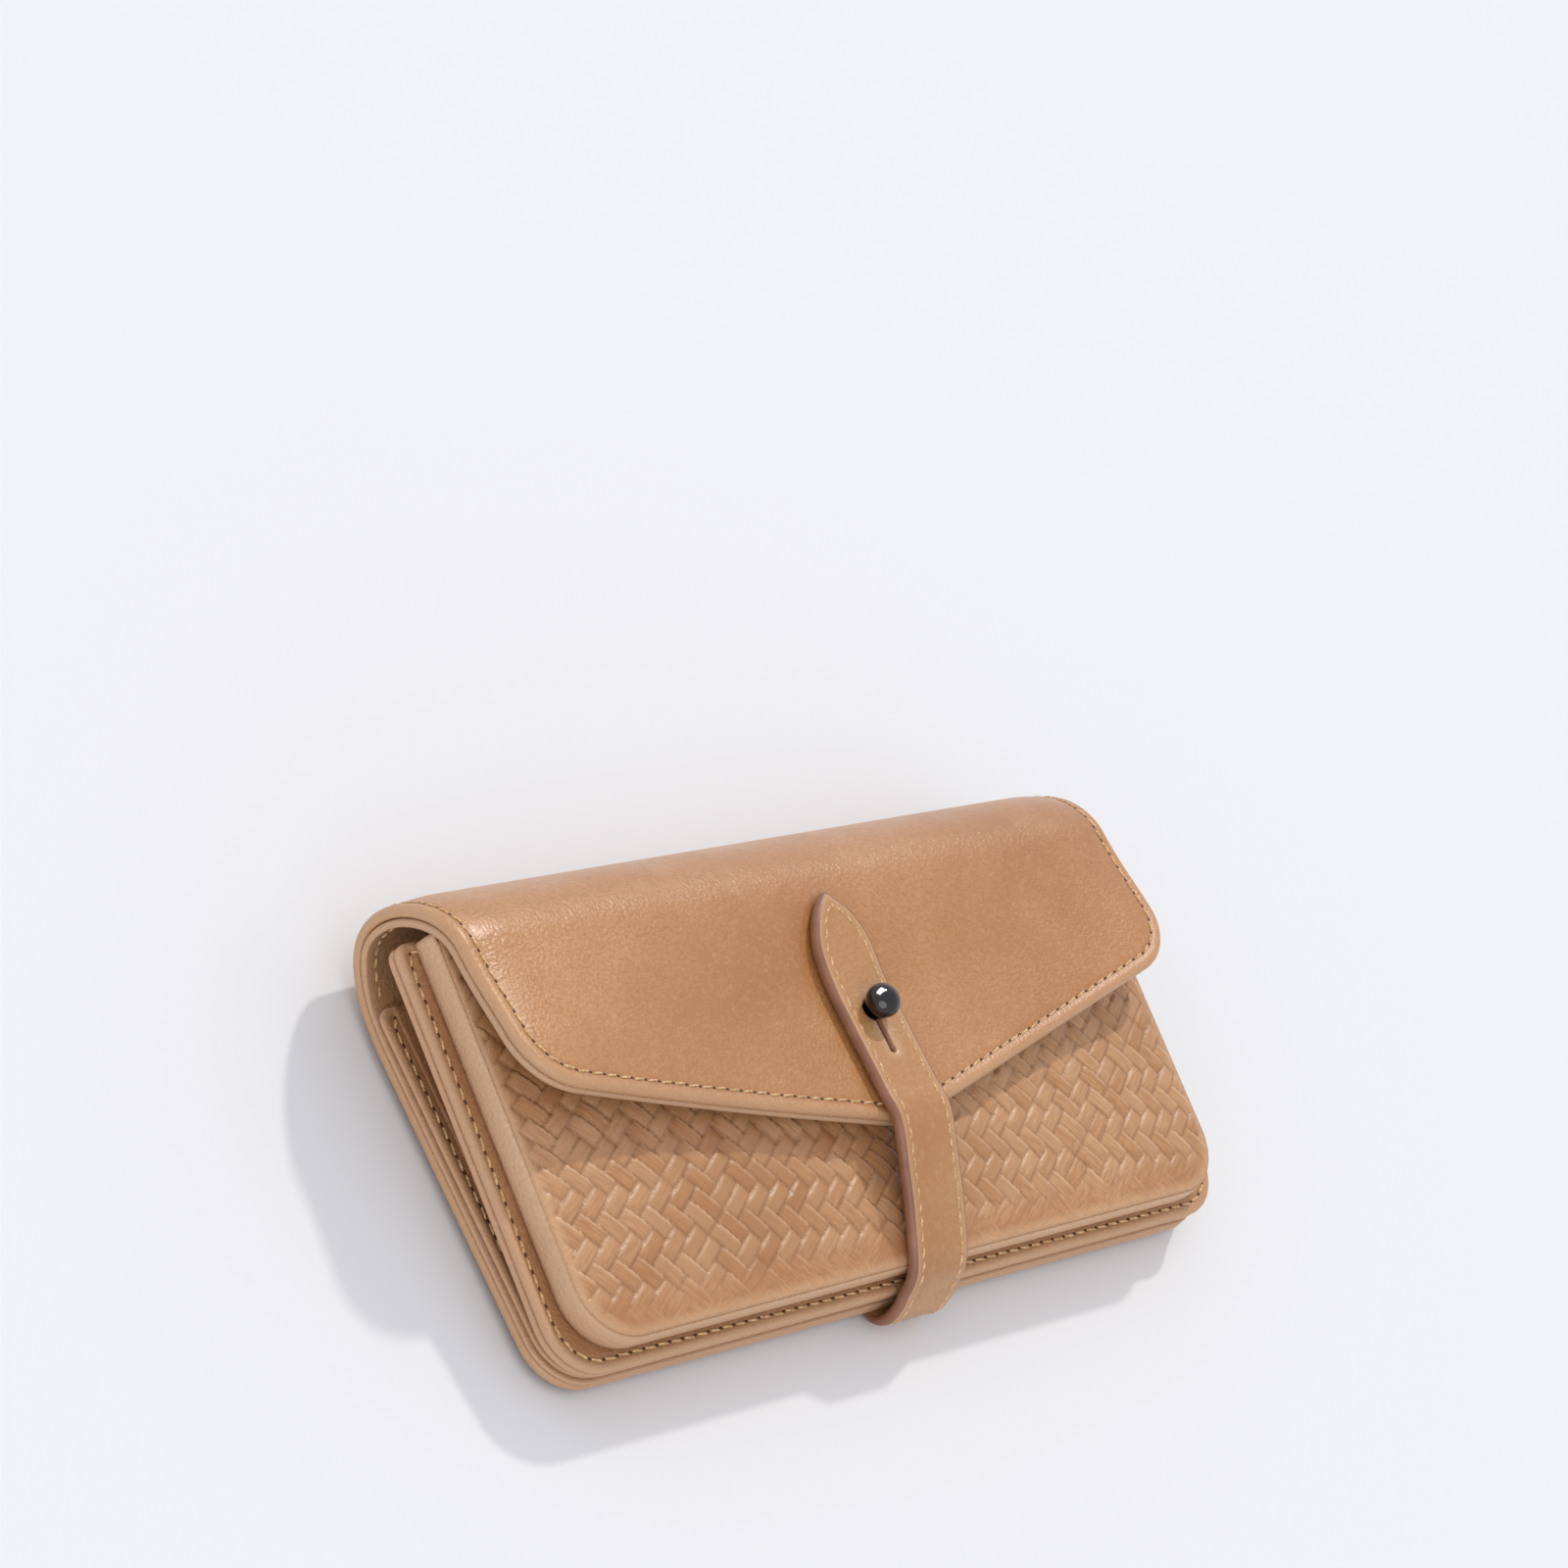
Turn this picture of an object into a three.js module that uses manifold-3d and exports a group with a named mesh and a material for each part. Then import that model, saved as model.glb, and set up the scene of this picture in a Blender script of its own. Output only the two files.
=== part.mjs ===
// Long wallet with an envelope flap, a strap that buttons over a ball stud, and a boxed front pocket.
// It lies closed on its back. +X runs along its length, +Y from the bottom edge to the top fold, and +Z from
// the back panel out through the front. Lengths are in millimetres. In the constants, Y is measured from the
// bottom edge and Z from the table; the whole group then slides along Y, so that the origin is the bottom
// centre of the wallet's box.
import * as THREE from "three";
import { mergeVertices } from "three/addons/utils/BufferGeometryUtils.js";
import Module from "manifold-3d";

const wasm = await Module();
wasm.setup();

// Driving dimensions
const LENGTH = 190;
const GAP = 0.3; // clearance between layers that touch
const OUTER = 2.0; // outer leather with its turned edge
const LINING = 1.0;
const BACK_Z = 1.9; // the strap's sewn end lifts the back panel by this much
const FOLD_START_Y = 78.5; // where the back panel starts to curve into the top fold
const FOLD_RISE = 18.3; // height of the top fold above that
const FOLD_HALF_DEPTH = 15.6; // half the fold's depth, measured outside
const FOLD_LEAN = 3.5; // how far its crest leans to the back
const BOTTOM_RADIUS = 11;
const TOP_RADIUS = 3;

const POCKET_T = 0.8; // pocket panel and card slots
const POCKET_TOP_Y = 80.5; // lip of the back pocket
const SLOT_ROWS = 2;
const SLOT_STEP = 12; // each card slot's lip stands this much below the one behind
const SLOT_BOTTOM_Y = 12;
const SLOT_WIDTH = 94;
const SLOT_TOP_Y = 70; // lip of the hindmost card slot

const WEDGE_SLOPE = 0.1035; // the front half leans away from the back by this slope
const FRONT_Z = BACK_Z + 4.7; // its rear face at the bottom edge
const PANEL_TOP = 88; // top of the middle panel, along its own face
const PANEL_BOTTOM = 0.4;
const PANEL_LAYER = 1.7; // each of the middle panel's two layers
const BAND_WIDTH = 181; // front pocket, outside
const BAND_BOTTOM = 3.6;
const BAND_TOP = 87;
const BAND_WALL = 1.5;
const BAND_DEPTH = 4.8;
const BAND_RADIUS = 12;
const FACE_INSET = 2.5; // the woven face starts this far inside the band's outline
const FACE_EDGE = 1.2; // its thickness at the border
const FACE_CROWN = 3.2; // how much thicker its middle is
const BOARD_T = 0.7;
const BOARD_INSET = 6;
const BOARD_BOTTOM_RADIUS = 7;
const BOARD_TOP_RADIUS = 3;

const FLAP_HALF = 91;
const FLAP_CORNER_Y = 49; // where the side edge and the sloping lower edge would meet
const FLAP_TIP_Y = 27;
const FLAP_RADIUS = 14;
const FLAP_DIP = 3.2; // how far the strap pulls the middle of the flap in
const FLAP_DIP_LENGTH = 26; // from the fold down to its full depth
const FLAP_FLARE = 2.2; // how far its side edges stand out

const STRAP_WIDTH = 16;
const STRAP_OUTER = 1.6;
const STRAP_LINING = 0.7;
const STRAP_TIP_Y = 75.5;
const STRAP_POINT = 14; // length of the pointed end
const STRAP_SEWN_Y = 34; // top of the end that is sewn to the back
const STRAP_CLEARANCE = 0.4; // above the flap
const BEND_END = 2.5; // where that end starts, above the bottom edge

const STUD_Y = 50.2;
const BALL_RADIUS = 3.6;
const BALL_FLATTENING = 0.85;
const NECK_RADIUS = 1.8;
const NECK_HEIGHT = 3.5;
const STUD_BASE_RADIUS = 3.2;
const STUD_BASE_T = 0.4;
const SCREW_RADIUS = 1.0;
const SCREW_HEAD_RADIUS = 3.5;
const SCREW_HEAD_T = 0.5;
const BUTTONHOLE_HALF = 3.9; // the ball passes it rigidly, so it is as wide as the ball
const BUTTONHOLE_BELOW = 4.2;
const BUTTONHOLE_ABOVE = 12.5;

const FOLD_TOP_Y = FOLD_START_Y + FOLD_RISE;
const FOLD_AXIS_Z = BACK_Z + FOLD_HALF_DEPTH;
const FLAP_Z = BACK_Z + 2 * FOLD_HALF_DEPTH; // outer face where the flap leaves the fold
const FLAP_TOTAL = OUTER + GAP + LINING;
const STRAP_TOTAL = STRAP_OUTER + GAP + STRAP_LINING;
const BEND_LOW_Y = -4.4;

const TAN = new THREE.MeshStandardMaterial({ color: 0xb58560, roughness: 0.42, metalness: 0 });
const SUEDE = new THREE.MeshStandardMaterial({ color: 0xa07550, roughness: 0.7, metalness: 0 });
const WOVEN = new THREE.MeshStandardMaterial({ color: 0xb9855a, roughness: 0.5, metalness: 0 });
const BOARD = new THREE.MeshStandardMaterial({ color: 0x8c8378, roughness: 0.9, metalness: 0 });
const GUNMETAL = new THREE.MeshStandardMaterial({ color: 0x1c1c1f, roughness: 0.15, metalness: 1 });

const wallet = new THREE.Group();
wallet.position.y = -(FOLD_TOP_Y + BEND_LOW_Y) / 2;

// The front half turns as one about the bottom edge.
const frontHalf = new THREE.Group();
frontHalf.position.z = FRONT_Z;
frontHalf.rotation.x = Math.atan(WEDGE_SLOPE);
wallet.add(frontHalf);

function addPiece(parent, name, geometry, material) {
  const piece = new THREE.Mesh(geometry, material);
  piece.name = name;
  parent.add(piece);
  return piece;
}

// A closed geometry as a solid that can be cut and joined.
function toSolid(geometry) {
  const bare = geometry.index ? geometry.toNonIndexed() : geometry.clone();
  const points = new THREE.BufferGeometry();
  points.setAttribute("position", bare.getAttribute("position"));
  const merged = mergeVertices(points, 1e-4);
  const mesh = new wasm.Mesh({
    numProp: 3,
    vertProperties: merged.attributes.position.array,
    triVerts: new Uint32Array(merged.index.array),
  });
  return new wasm.Manifold(mesh);
}

function toGeometry(solid) {
  const mesh = solid.getMesh();
  const geometry = new THREE.BufferGeometry();
  geometry.setAttribute("position", new THREE.BufferAttribute(mesh.vertProperties, 3));
  geometry.setIndex(new THREE.BufferAttribute(mesh.triVerts, 1));
  return geometry;
}

// A flat sheet of this outline in XY, from z up.
function sheet(outline, z, thickness) {
  const geometry = new THREE.ExtrudeGeometry(outline, {
    depth: thickness,
    bevelEnabled: false,
    curveSegments: 6,
  });
  return geometry.translate(0, 0, z);
}

// A strip of this outline in YZ, across the width in X and centred on it.
function strip(points, width) {
  const geometry = new THREE.ExtrudeGeometry(new THREE.Shape(points), {
    depth: width,
    bevelEnabled: false,
  });
  const turn = new THREE.Matrix4().makeBasis(
    new THREE.Vector3(0, 1, 0),
    new THREE.Vector3(0, 0, 1),
    new THREE.Vector3(1, 0, 0),
  );
  return geometry.applyMatrix4(turn).translate(-width / 2, 0, 0);
}

// A panel's outline: square or rounded corners at the bottom and the top.
function panelOutline(width, bottom, top, bottomRadius, topRadius) {
  const side = width / 2;
  const shape = new THREE.Shape();
  shape.moveTo(-side + bottomRadius, bottom);
  shape.lineTo(side - bottomRadius, bottom);
  if (bottomRadius > 0) {
    shape.absarc(side - bottomRadius, bottom + bottomRadius, bottomRadius, -Math.PI / 2, 0, false);
  }
  shape.lineTo(side, top - topRadius);
  if (topRadius > 0) {
    shape.absarc(side - topRadius, top - topRadius, topRadius, 0, Math.PI / 2, false);
  }
  shape.lineTo(-side + topRadius, top);
  if (topRadius > 0) {
    shape.absarc(-side + topRadius, top - topRadius, topRadius, Math.PI / 2, Math.PI, false);
  }
  shape.lineTo(-side, bottom + bottomRadius);
  if (bottomRadius > 0) {
    shape.absarc(-side + bottomRadius, bottom + bottomRadius, bottomRadius, Math.PI, 1.5 * Math.PI, false);
  }
  return shape;
}

// A closed sheet between two surfaces over the same grid: column i runs along row j from low to high.
function gridSheet(columns, rows, topPoint, bottomPoint) {
  const points = [];
  const faces = [];
  const perSide = (columns + 1) * (rows + 1);
  for (const point of [topPoint, bottomPoint]) {
    for (let i = 0; i <= columns; i++) {
      for (let j = 0; j <= rows; j++) {
        points.push(...point(i / columns, j / rows));
      }
    }
  }
  const at = (side, i, j) => side * perSide + i * (rows + 1) + j;
  const quad = (a, b, c, d) => faces.push(a, b, c, a, c, d);
  for (let i = 0; i < columns; i++) {
    for (let j = 0; j < rows; j++) {
      quad(at(0, i, j), at(0, i + 1, j), at(0, i + 1, j + 1), at(0, i, j + 1));
      quad(at(1, i, j), at(1, i, j + 1), at(1, i + 1, j + 1), at(1, i + 1, j));
    }
    quad(at(1, i, 0), at(1, i + 1, 0), at(0, i + 1, 0), at(0, i, 0));
    quad(at(0, i, rows), at(0, i + 1, rows), at(1, i + 1, rows), at(1, i, rows));
  }
  for (let j = 0; j < rows; j++) {
    quad(at(1, 0, j + 1), at(1, 0, j), at(0, 0, j), at(0, 0, j + 1));
    quad(at(1, columns, j), at(1, columns, j + 1), at(0, columns, j + 1), at(0, columns, j));
  }
  const geometry = new THREE.BufferGeometry();
  geometry.setAttribute("position", new THREE.Float32BufferAttribute(points, 3));
  geometry.setIndex(faces);
  return geometry;
}

// Back half: outer leather, lining, pocket panel and card slots

function addBackHalf() {
  const outer = panelOutline(LENGTH, 0, FOLD_START_Y - GAP, BOTTOM_RADIUS, 0);
  addPiece(wallet, "back_outer_leather", sheet(outer, BACK_Z, OUTER), TAN);

  const liningZ = BACK_Z + OUTER + GAP;
  const lining = panelOutline(LENGTH - 2, 1, FOLD_START_Y - GAP, BOTTOM_RADIUS - 1, 0);
  addPiece(wallet, "back_lining", sheet(lining, liningZ, LINING), SUEDE);

  const pocketZ = liningZ + LINING + GAP;
  const pocket = panelOutline(LENGTH - 2, 1, POCKET_TOP_Y, BOTTOM_RADIUS - 1, 1);
  addPiece(wallet, "back_pocket_panel", sheet(pocket, pocketZ, POCKET_T), TAN);

  for (let row = 0; row < SLOT_ROWS; row++) {
    const top = SLOT_TOP_Y - row * SLOT_STEP;
    const bottom = SLOT_BOTTOM_Y + row * SLOT_STEP;
    const z = pocketZ + (row + 1) * (POCKET_T + GAP);
    const slot = panelOutline(SLOT_WIDTH, bottom, top, 0, 2);
    addPiece(wallet, `card_slot_${row + 1}`, sheet(slot, z, POCKET_T), TAN);
  }
}

// Top fold: the same outer leather and lining, curved over from the back to the flap

// A half ellipse from the front of the fold over its top to the back, this far inside the outer face.
function foldArc(inset, steps) {
  const points = [];
  for (let i = 0; i <= steps; i++) {
    const turn = (Math.PI * i) / steps;
    points.push(
      new THREE.Vector2(
        FOLD_START_Y + (FOLD_RISE - inset) * Math.sin(turn),
        FOLD_AXIS_Z + (FOLD_HALF_DEPTH - inset) * Math.cos(turn) - FOLD_LEAN * Math.sin(turn) ** 2,
      ),
    );
  }
  return points;
}

function addFold() {
  const steps = 18;
  const layer = (from, to) => [...foldArc(from, steps), ...foldArc(to, steps).reverse()];
  addPiece(wallet, "fold_outer_leather", strip(layer(0, OUTER), LENGTH), TAN);
  const liningAt = OUTER + GAP;
  addPiece(wallet, "fold_lining", strip(layer(liningAt, liningAt + LINING), LENGTH - 2), SUEDE);
}

// Side gussets: each is folded inwards between the back pocket panel and the middle panel

function addGusset(name, side) {
  const rearZ = BACK_Z + OUTER + LINING + POCKET_T + 3 * GAP;
  const wall = 0.6;
  const flange = 5;
  const slant = 2.25; // how far in each fold goes for each millimetre of the gap it spans
  const outside = LENGTH / 2 - 2;
  const bottom = 16;
  const top = 80;
  const section = (y) => {
    const width = FRONT_Z + WEDGE_SLOPE * y - GAP - rearZ;
    const middle = width / 2;
    const fold = outside - flange - slant * (middle - wall);
    const backOfFold = outside - flange - 0.3 - slant * middle;
    return [
      [outside, 0],
      [outside, wall],
      [outside - flange, wall],
      [fold, middle],
      [outside - flange, width - wall],
      [outside, width - wall],
      [outside, width],
      [outside - flange - 0.3, width],
      [backOfFold, middle],
      [outside - flange - 0.3, 0],
    ].map(([x, z]) => new THREE.Vector3(side * x, y, rearZ + z));
  };
  const low = section(bottom);
  const high = section(top);
  const flat = low.map((point) => new THREE.Vector2(point.x, point.z));
  if (THREE.ShapeUtils.isClockWise(flat)) {
    for (const list of [low, high, flat]) {
      list.reverse();
    }
  }
  const count = low.length;
  const faces = [];
  for (const [a, b, c] of THREE.ShapeUtils.triangulateShape(flat, [])) {
    faces.push(a, b, c, a + count, c + count, b + count);
  }
  for (let i = 0; i < count; i++) {
    const j = (i + 1) % count;
    faces.push(j, i, i + count, j, i + count, j + count);
  }
  const geometry = new THREE.BufferGeometry();
  const points = [...low, ...high].flatMap((p) => [p.x, p.y, p.z]);
  geometry.setAttribute("position", new THREE.Float32BufferAttribute(points, 3));
  geometry.setIndex(faces);
  addPiece(wallet, name, geometry, TAN);
}

// Front half: middle panel, side band, lining, board and woven face

function addFrontHalf() {
  const frontLayerZ = PANEL_LAYER + GAP;
  const middle = panelOutline(LENGTH, PANEL_BOTTOM, PANEL_TOP, BOTTOM_RADIUS, TOP_RADIUS);
  addPiece(frontHalf, "middle_panel_rear", sheet(middle, 0, PANEL_LAYER), TAN);
  addPiece(frontHalf, "middle_panel_front", sheet(middle, frontLayerZ, PANEL_LAYER), TAN);

  const bandZ = frontLayerZ + PANEL_LAYER + GAP;
  const band = panelOutline(BAND_WIDTH, BAND_BOTTOM, BAND_TOP, BAND_RADIUS, 0);
  const hollow = panelOutline(
    BAND_WIDTH - 2 * BAND_WALL,
    BAND_BOTTOM + BAND_WALL,
    BAND_TOP + 1,
    BAND_RADIUS - BAND_WALL,
    0,
  );
  const walls = toSolid(sheet(band, bandZ, BAND_DEPTH)).subtract(
    toSolid(sheet(hollow, bandZ - 1, BAND_DEPTH + 2)),
  );
  addPiece(frontHalf, "front_side_band", toGeometry(walls), TAN);

  const liningInset = BAND_WALL + GAP;
  const faceZ = bandZ + BAND_DEPTH + GAP;
  const lining = panelOutline(
    BAND_WIDTH - 2 * liningInset,
    BAND_BOTTOM + liningInset,
    BAND_TOP - 0.5,
    BAND_RADIUS - liningInset,
    0,
  );
  const liningT = 0.6;
  addPiece(frontHalf, "front_lining", sheet(lining, faceZ - GAP - liningT, liningT), SUEDE);

  const board = panelOutline(
    BAND_WIDTH - 2 * BOARD_INSET,
    BAND_BOTTOM + BOARD_INSET,
    BAND_TOP - BOARD_INSET,
    BOARD_BOTTOM_RADIUS,
    BOARD_TOP_RADIUS,
  );
  const boardZ = faceZ + 0.1;
  addPiece(frontHalf, "front_board", sheet(board, boardZ, BOARD_T), BOARD);

  const recess = panelOutline(
    BAND_WIDTH - 2 * BOARD_INSET + 2 * GAP,
    BAND_BOTTOM + BOARD_INSET - GAP,
    BAND_TOP - BOARD_INSET + GAP,
    BOARD_BOTTOM_RADIUS + GAP,
    BOARD_TOP_RADIUS + GAP,
  );
  const recessTop = boardZ + BOARD_T + GAP;
  const cutter = toSolid(sheet(recess, faceZ - 1, recessTop - faceZ + 1));
  const face = toSolid(facePad(faceZ)).subtract(cutter);
  addPiece(frontHalf, "front_woven_face", toGeometry(face), WOVEN);
}

// The padded face: flat behind, crowned in front, with rounded lower corners.
function facePad(z) {
  const half = BAND_WIDTH / 2 - FACE_INSET;
  const bottom = BAND_BOTTOM + FACE_INSET;
  const radius = BAND_RADIUS - FACE_INSET;
  const middleY = (bottom + BAND_TOP) / 2;
  const halfHeight = (BAND_TOP - bottom) / 2;
  const place = (u, v) => {
    const x = -half * Math.cos(Math.PI * u);
    const intoCorner = Math.max(Math.abs(x) - (half - radius), 0);
    const low = bottom + radius - Math.sqrt(Math.max(radius ** 2 - intoCorner ** 2, 0));
    const share = (1 - Math.cos(Math.PI * v)) / 2;
    return [x, low + (BAND_TOP - low) * share];
  };
  const crown = (x, y) => {
    const along = 1 - Math.abs(x / half) ** 4;
    const up = 1 - Math.min(Math.abs((y - middleY) / halfHeight), 1) ** 3;
    return FACE_CROWN * Math.max(along, 0) * Math.max(up, 0);
  };
  const front = (u, v) => {
    const [x, y] = place(u, v);
    return [x, y, z + FACE_EDGE + crown(x, y)];
  };
  const back = (u, v) => [...place(u, v), z];
  return gridSheet(20, 10, front, back);
}

// Flap: outer leather and lining, dished towards the strap

// The flap's lower edge at this x: a shallow V with rounded outer corners.
function flapEdge(x) {
  const slope = (FLAP_CORNER_Y - FLAP_TIP_Y) / FLAP_HALF;
  const lean = Math.atan(slope);
  const along = Math.abs(x);
  const centreX = FLAP_HALF - FLAP_RADIUS;
  if (along <= centreX + FLAP_RADIUS * Math.sin(lean)) {
    return FLAP_TIP_Y + slope * along;
  }
  const centreY = FLAP_TIP_Y + slope * centreX + FLAP_RADIUS / Math.cos(lean);
  return centreY - Math.sqrt(Math.max(FLAP_RADIUS ** 2 - (along - centreX) ** 2, 0));
}

// The flap's outer face.
function flapZ(x, y) {
  const down = THREE.MathUtils.smoothstep(FOLD_START_Y - y, 0, FLAP_DIP_LENGTH);
  const across = (x / FLAP_HALF) ** 2;
  return FLAP_Z + down * (-FLAP_DIP + (FLAP_DIP + FLAP_FLARE) * across);
}

function flapLayer(inset, depth, thickness) {
  const top = FOLD_START_Y - GAP;
  const place = (u, v) => {
    const x = -Math.cos(Math.PI * u) * (FLAP_HALF - inset);
    const low = flapEdge((x * FLAP_HALF) / (FLAP_HALF - inset)) + inset;
    return [x, low + (top - low) * v];
  };
  const surface = (below) => (u, v) => {
    const [x, y] = place(u, v);
    return [x, y, flapZ(x, y) - below];
  };
  return gridSheet(28, 8, surface(depth), surface(depth + thickness));
}

function addFlap() {
  const bore = new THREE.CylinderGeometry(SCREW_RADIUS + GAP, SCREW_RADIUS + GAP, 20, 12);
  bore.rotateX(Math.PI / 2).translate(0, STUD_Y, FLAP_Z - FLAP_DIP);
  const hole = toSolid(bore);
  const outer = toSolid(flapLayer(0, 0, OUTER)).subtract(hole);
  addPiece(wallet, "flap_outer_leather", toGeometry(outer), TAN);
  const lining = toSolid(flapLayer(0.8, OUTER + GAP, LINING)).subtract(hole);
  addPiece(wallet, "flap_lining", toGeometry(lining), SUEDE);
}

// Ball stud: a turned head with its neck and base, and a flat screw from behind

function addStud() {
  const faceZ = FLAP_Z - FLAP_DIP + GAP;
  const ballMiddle = NECK_HEIGHT + BALL_RADIUS * BALL_FLATTENING * 0.8;
  const profile = [
    new THREE.Vector2(SCREW_RADIUS + GAP, 0),
    new THREE.Vector2(STUD_BASE_RADIUS, 0),
    new THREE.Vector2(STUD_BASE_RADIUS, STUD_BASE_T),
    new THREE.Vector2(NECK_RADIUS, STUD_BASE_T + 0.3),
  ];
  const rings = 10;
  const start = Math.asin(NECK_RADIUS / BALL_RADIUS);
  for (let i = 0; i <= rings; i++) {
    const turn = start + ((Math.PI - start) * i) / rings;
    const radius = i === rings ? 0 : BALL_RADIUS * Math.sin(turn);
    const height = ballMiddle - BALL_RADIUS * BALL_FLATTENING * Math.cos(turn);
    profile.push(new THREE.Vector2(radius, height));
  }
  const boreTop = NECK_HEIGHT;
  profile.push(new THREE.Vector2(0, boreTop));
  profile.push(new THREE.Vector2(SCREW_RADIUS + GAP, boreTop));
  profile.push(new THREE.Vector2(SCREW_RADIUS + GAP, 0));
  const head = new THREE.LatheGeometry(profile, 20).rotateX(Math.PI / 2);
  addPiece(wallet, "stud_head", head.translate(0, STUD_Y, faceZ), GUNMETAL);

  const behind = FLAP_Z - FLAP_DIP - FLAP_TOTAL - GAP;
  const shankTop = faceZ + boreTop - GAP;
  const screw = [
    new THREE.Vector2(0, behind - SCREW_HEAD_T),
    new THREE.Vector2(SCREW_HEAD_RADIUS, behind - SCREW_HEAD_T),
    new THREE.Vector2(SCREW_HEAD_RADIUS, behind),
    new THREE.Vector2(SCREW_RADIUS, behind),
    new THREE.Vector2(SCREW_RADIUS, shankTop),
    new THREE.Vector2(0, shankTop),
  ];
  const shank = new THREE.LatheGeometry(screw, 16).rotateX(Math.PI / 2);
  addPiece(wallet, "stud_screw", shank.translate(0, STUD_Y, 0), GUNMETAL);
}

// Strap: sewn end on the back, bend under the bottom edge, and the arm that buttons on the stud

// The strap's outer face in YZ, from where the arm leaves the bend to its tip: round the front's lower edge,
// and then on the flap.
function strapLine() {
  const points = [
    new THREE.Vector2(-2.6, BACK_Z + 10.6),
    new THREE.Vector2(0.5, BACK_Z + 16.4),
    new THREE.Vector2(9.6, BACK_Z + 22.4),
    new THREE.Vector2(18.5, BACK_Z + 27.1),
  ];
  const end = STRAP_TIP_Y + 0.5;
  const steps = 7;
  for (let i = 0; i <= steps; i++) {
    const y = THREE.MathUtils.lerp(FLAP_TIP_Y, end, i / steps);
    points.push(new THREE.Vector2(y, flapZ(STRAP_WIDTH / 2, y) + STRAP_CLEARANCE + STRAP_TOTAL));
  }
  return new THREE.SplineCurve(points);
}

// The outline of a layer between two depths under a line of points.
function layerUnder(points, from, to) {
  const normals = points.map((point, i) => {
    const before = points[Math.max(i - 1, 0)];
    const after = points[Math.min(i + 1, points.length - 1)];
    const along = after.clone().sub(before).normalize();
    return new THREE.Vector2(along.y, -along.x);
  });
  const offset = (depth) => points.map((point, i) => point.clone().addScaledVector(normals[i], depth));
  return [...offset(from), ...offset(to).reverse()];
}

function strapOutline() {
  const half = STRAP_WIDTH / 2;
  const shoulder = STRAP_TIP_Y - STRAP_POINT;
  const shape = new THREE.Shape();
  shape.moveTo(-half, -20);
  shape.lineTo(half, -20);
  shape.lineTo(half, shoulder);
  shape.quadraticCurveTo(half, STRAP_TIP_Y - 5, 1, STRAP_TIP_Y);
  shape.lineTo(-1, STRAP_TIP_Y);
  shape.quadraticCurveTo(-half, STRAP_TIP_Y - 5, -half, shoulder);
  return shape;
}

function buttonhole() {
  const low = STUD_Y - BUTTONHOLE_BELOW;
  const high = STUD_Y + BUTTONHOLE_ABOVE;
  const outline = panelOutline(2 * BUTTONHOLE_HALF, low, high, BUTTONHOLE_HALF - 0.01, BUTTONHOLE_HALF - 0.01);
  return toSolid(sheet(outline, 0, 80));
}

function addStrap() {
  const points = strapLine().getSpacedPoints(30);
  const outline = toSolid(sheet(strapOutline(), 0, 80));
  const arm = (from, to) => {
    const ribbon = toSolid(strip(layerUnder(points, from, to), STRAP_WIDTH));
    return ribbon.intersect(outline).subtract(buttonhole());
  };
  addPiece(wallet, "strap_outer", toGeometry(arm(0, STRAP_OUTER)), TAN);
  const liningAt = STRAP_OUTER + GAP;
  addPiece(wallet, "strap_lining", toGeometry(arm(liningAt, STRAP_TOTAL)), SUEDE);

  const bend = new THREE.SplineCurve([
    new THREE.Vector2(BEND_END - GAP, 0),
    new THREE.Vector2(-0.6, 0.4),
    new THREE.Vector2(-3.4, 2.6),
    new THREE.Vector2(BEND_LOW_Y, 6),
    new THREE.Vector2(-3.7, BACK_Z + 7.8),
    new THREE.Vector2(-2.8, BACK_Z + 10.25),
  ]);
  const bendLayer = layerUnder(bend.getSpacedPoints(14), 0, STRAP_OUTER);
  addPiece(wallet, "strap_bend", strip(bendLayer, STRAP_WIDTH), TAN);

  const sewn = panelOutline(STRAP_WIDTH, BEND_END, STRAP_SEWN_Y, 0, 2);
  addPiece(wallet, "strap_sewn_end", sheet(sewn, 0, STRAP_OUTER), TAN);
}

addBackHalf();
addFold();
addGusset("gusset_left", -1);
addGusset("gusset_right", 1);
addFrontHalf();
addFlap();
addStud();
addStrap();

export default wallet;
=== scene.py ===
"""Looks for the long wallet: leather panels, a woven padded front, seams, strap and stud."""

import math

import bmesh
import bpy
import numpy as np
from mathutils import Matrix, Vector, geometry


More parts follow.
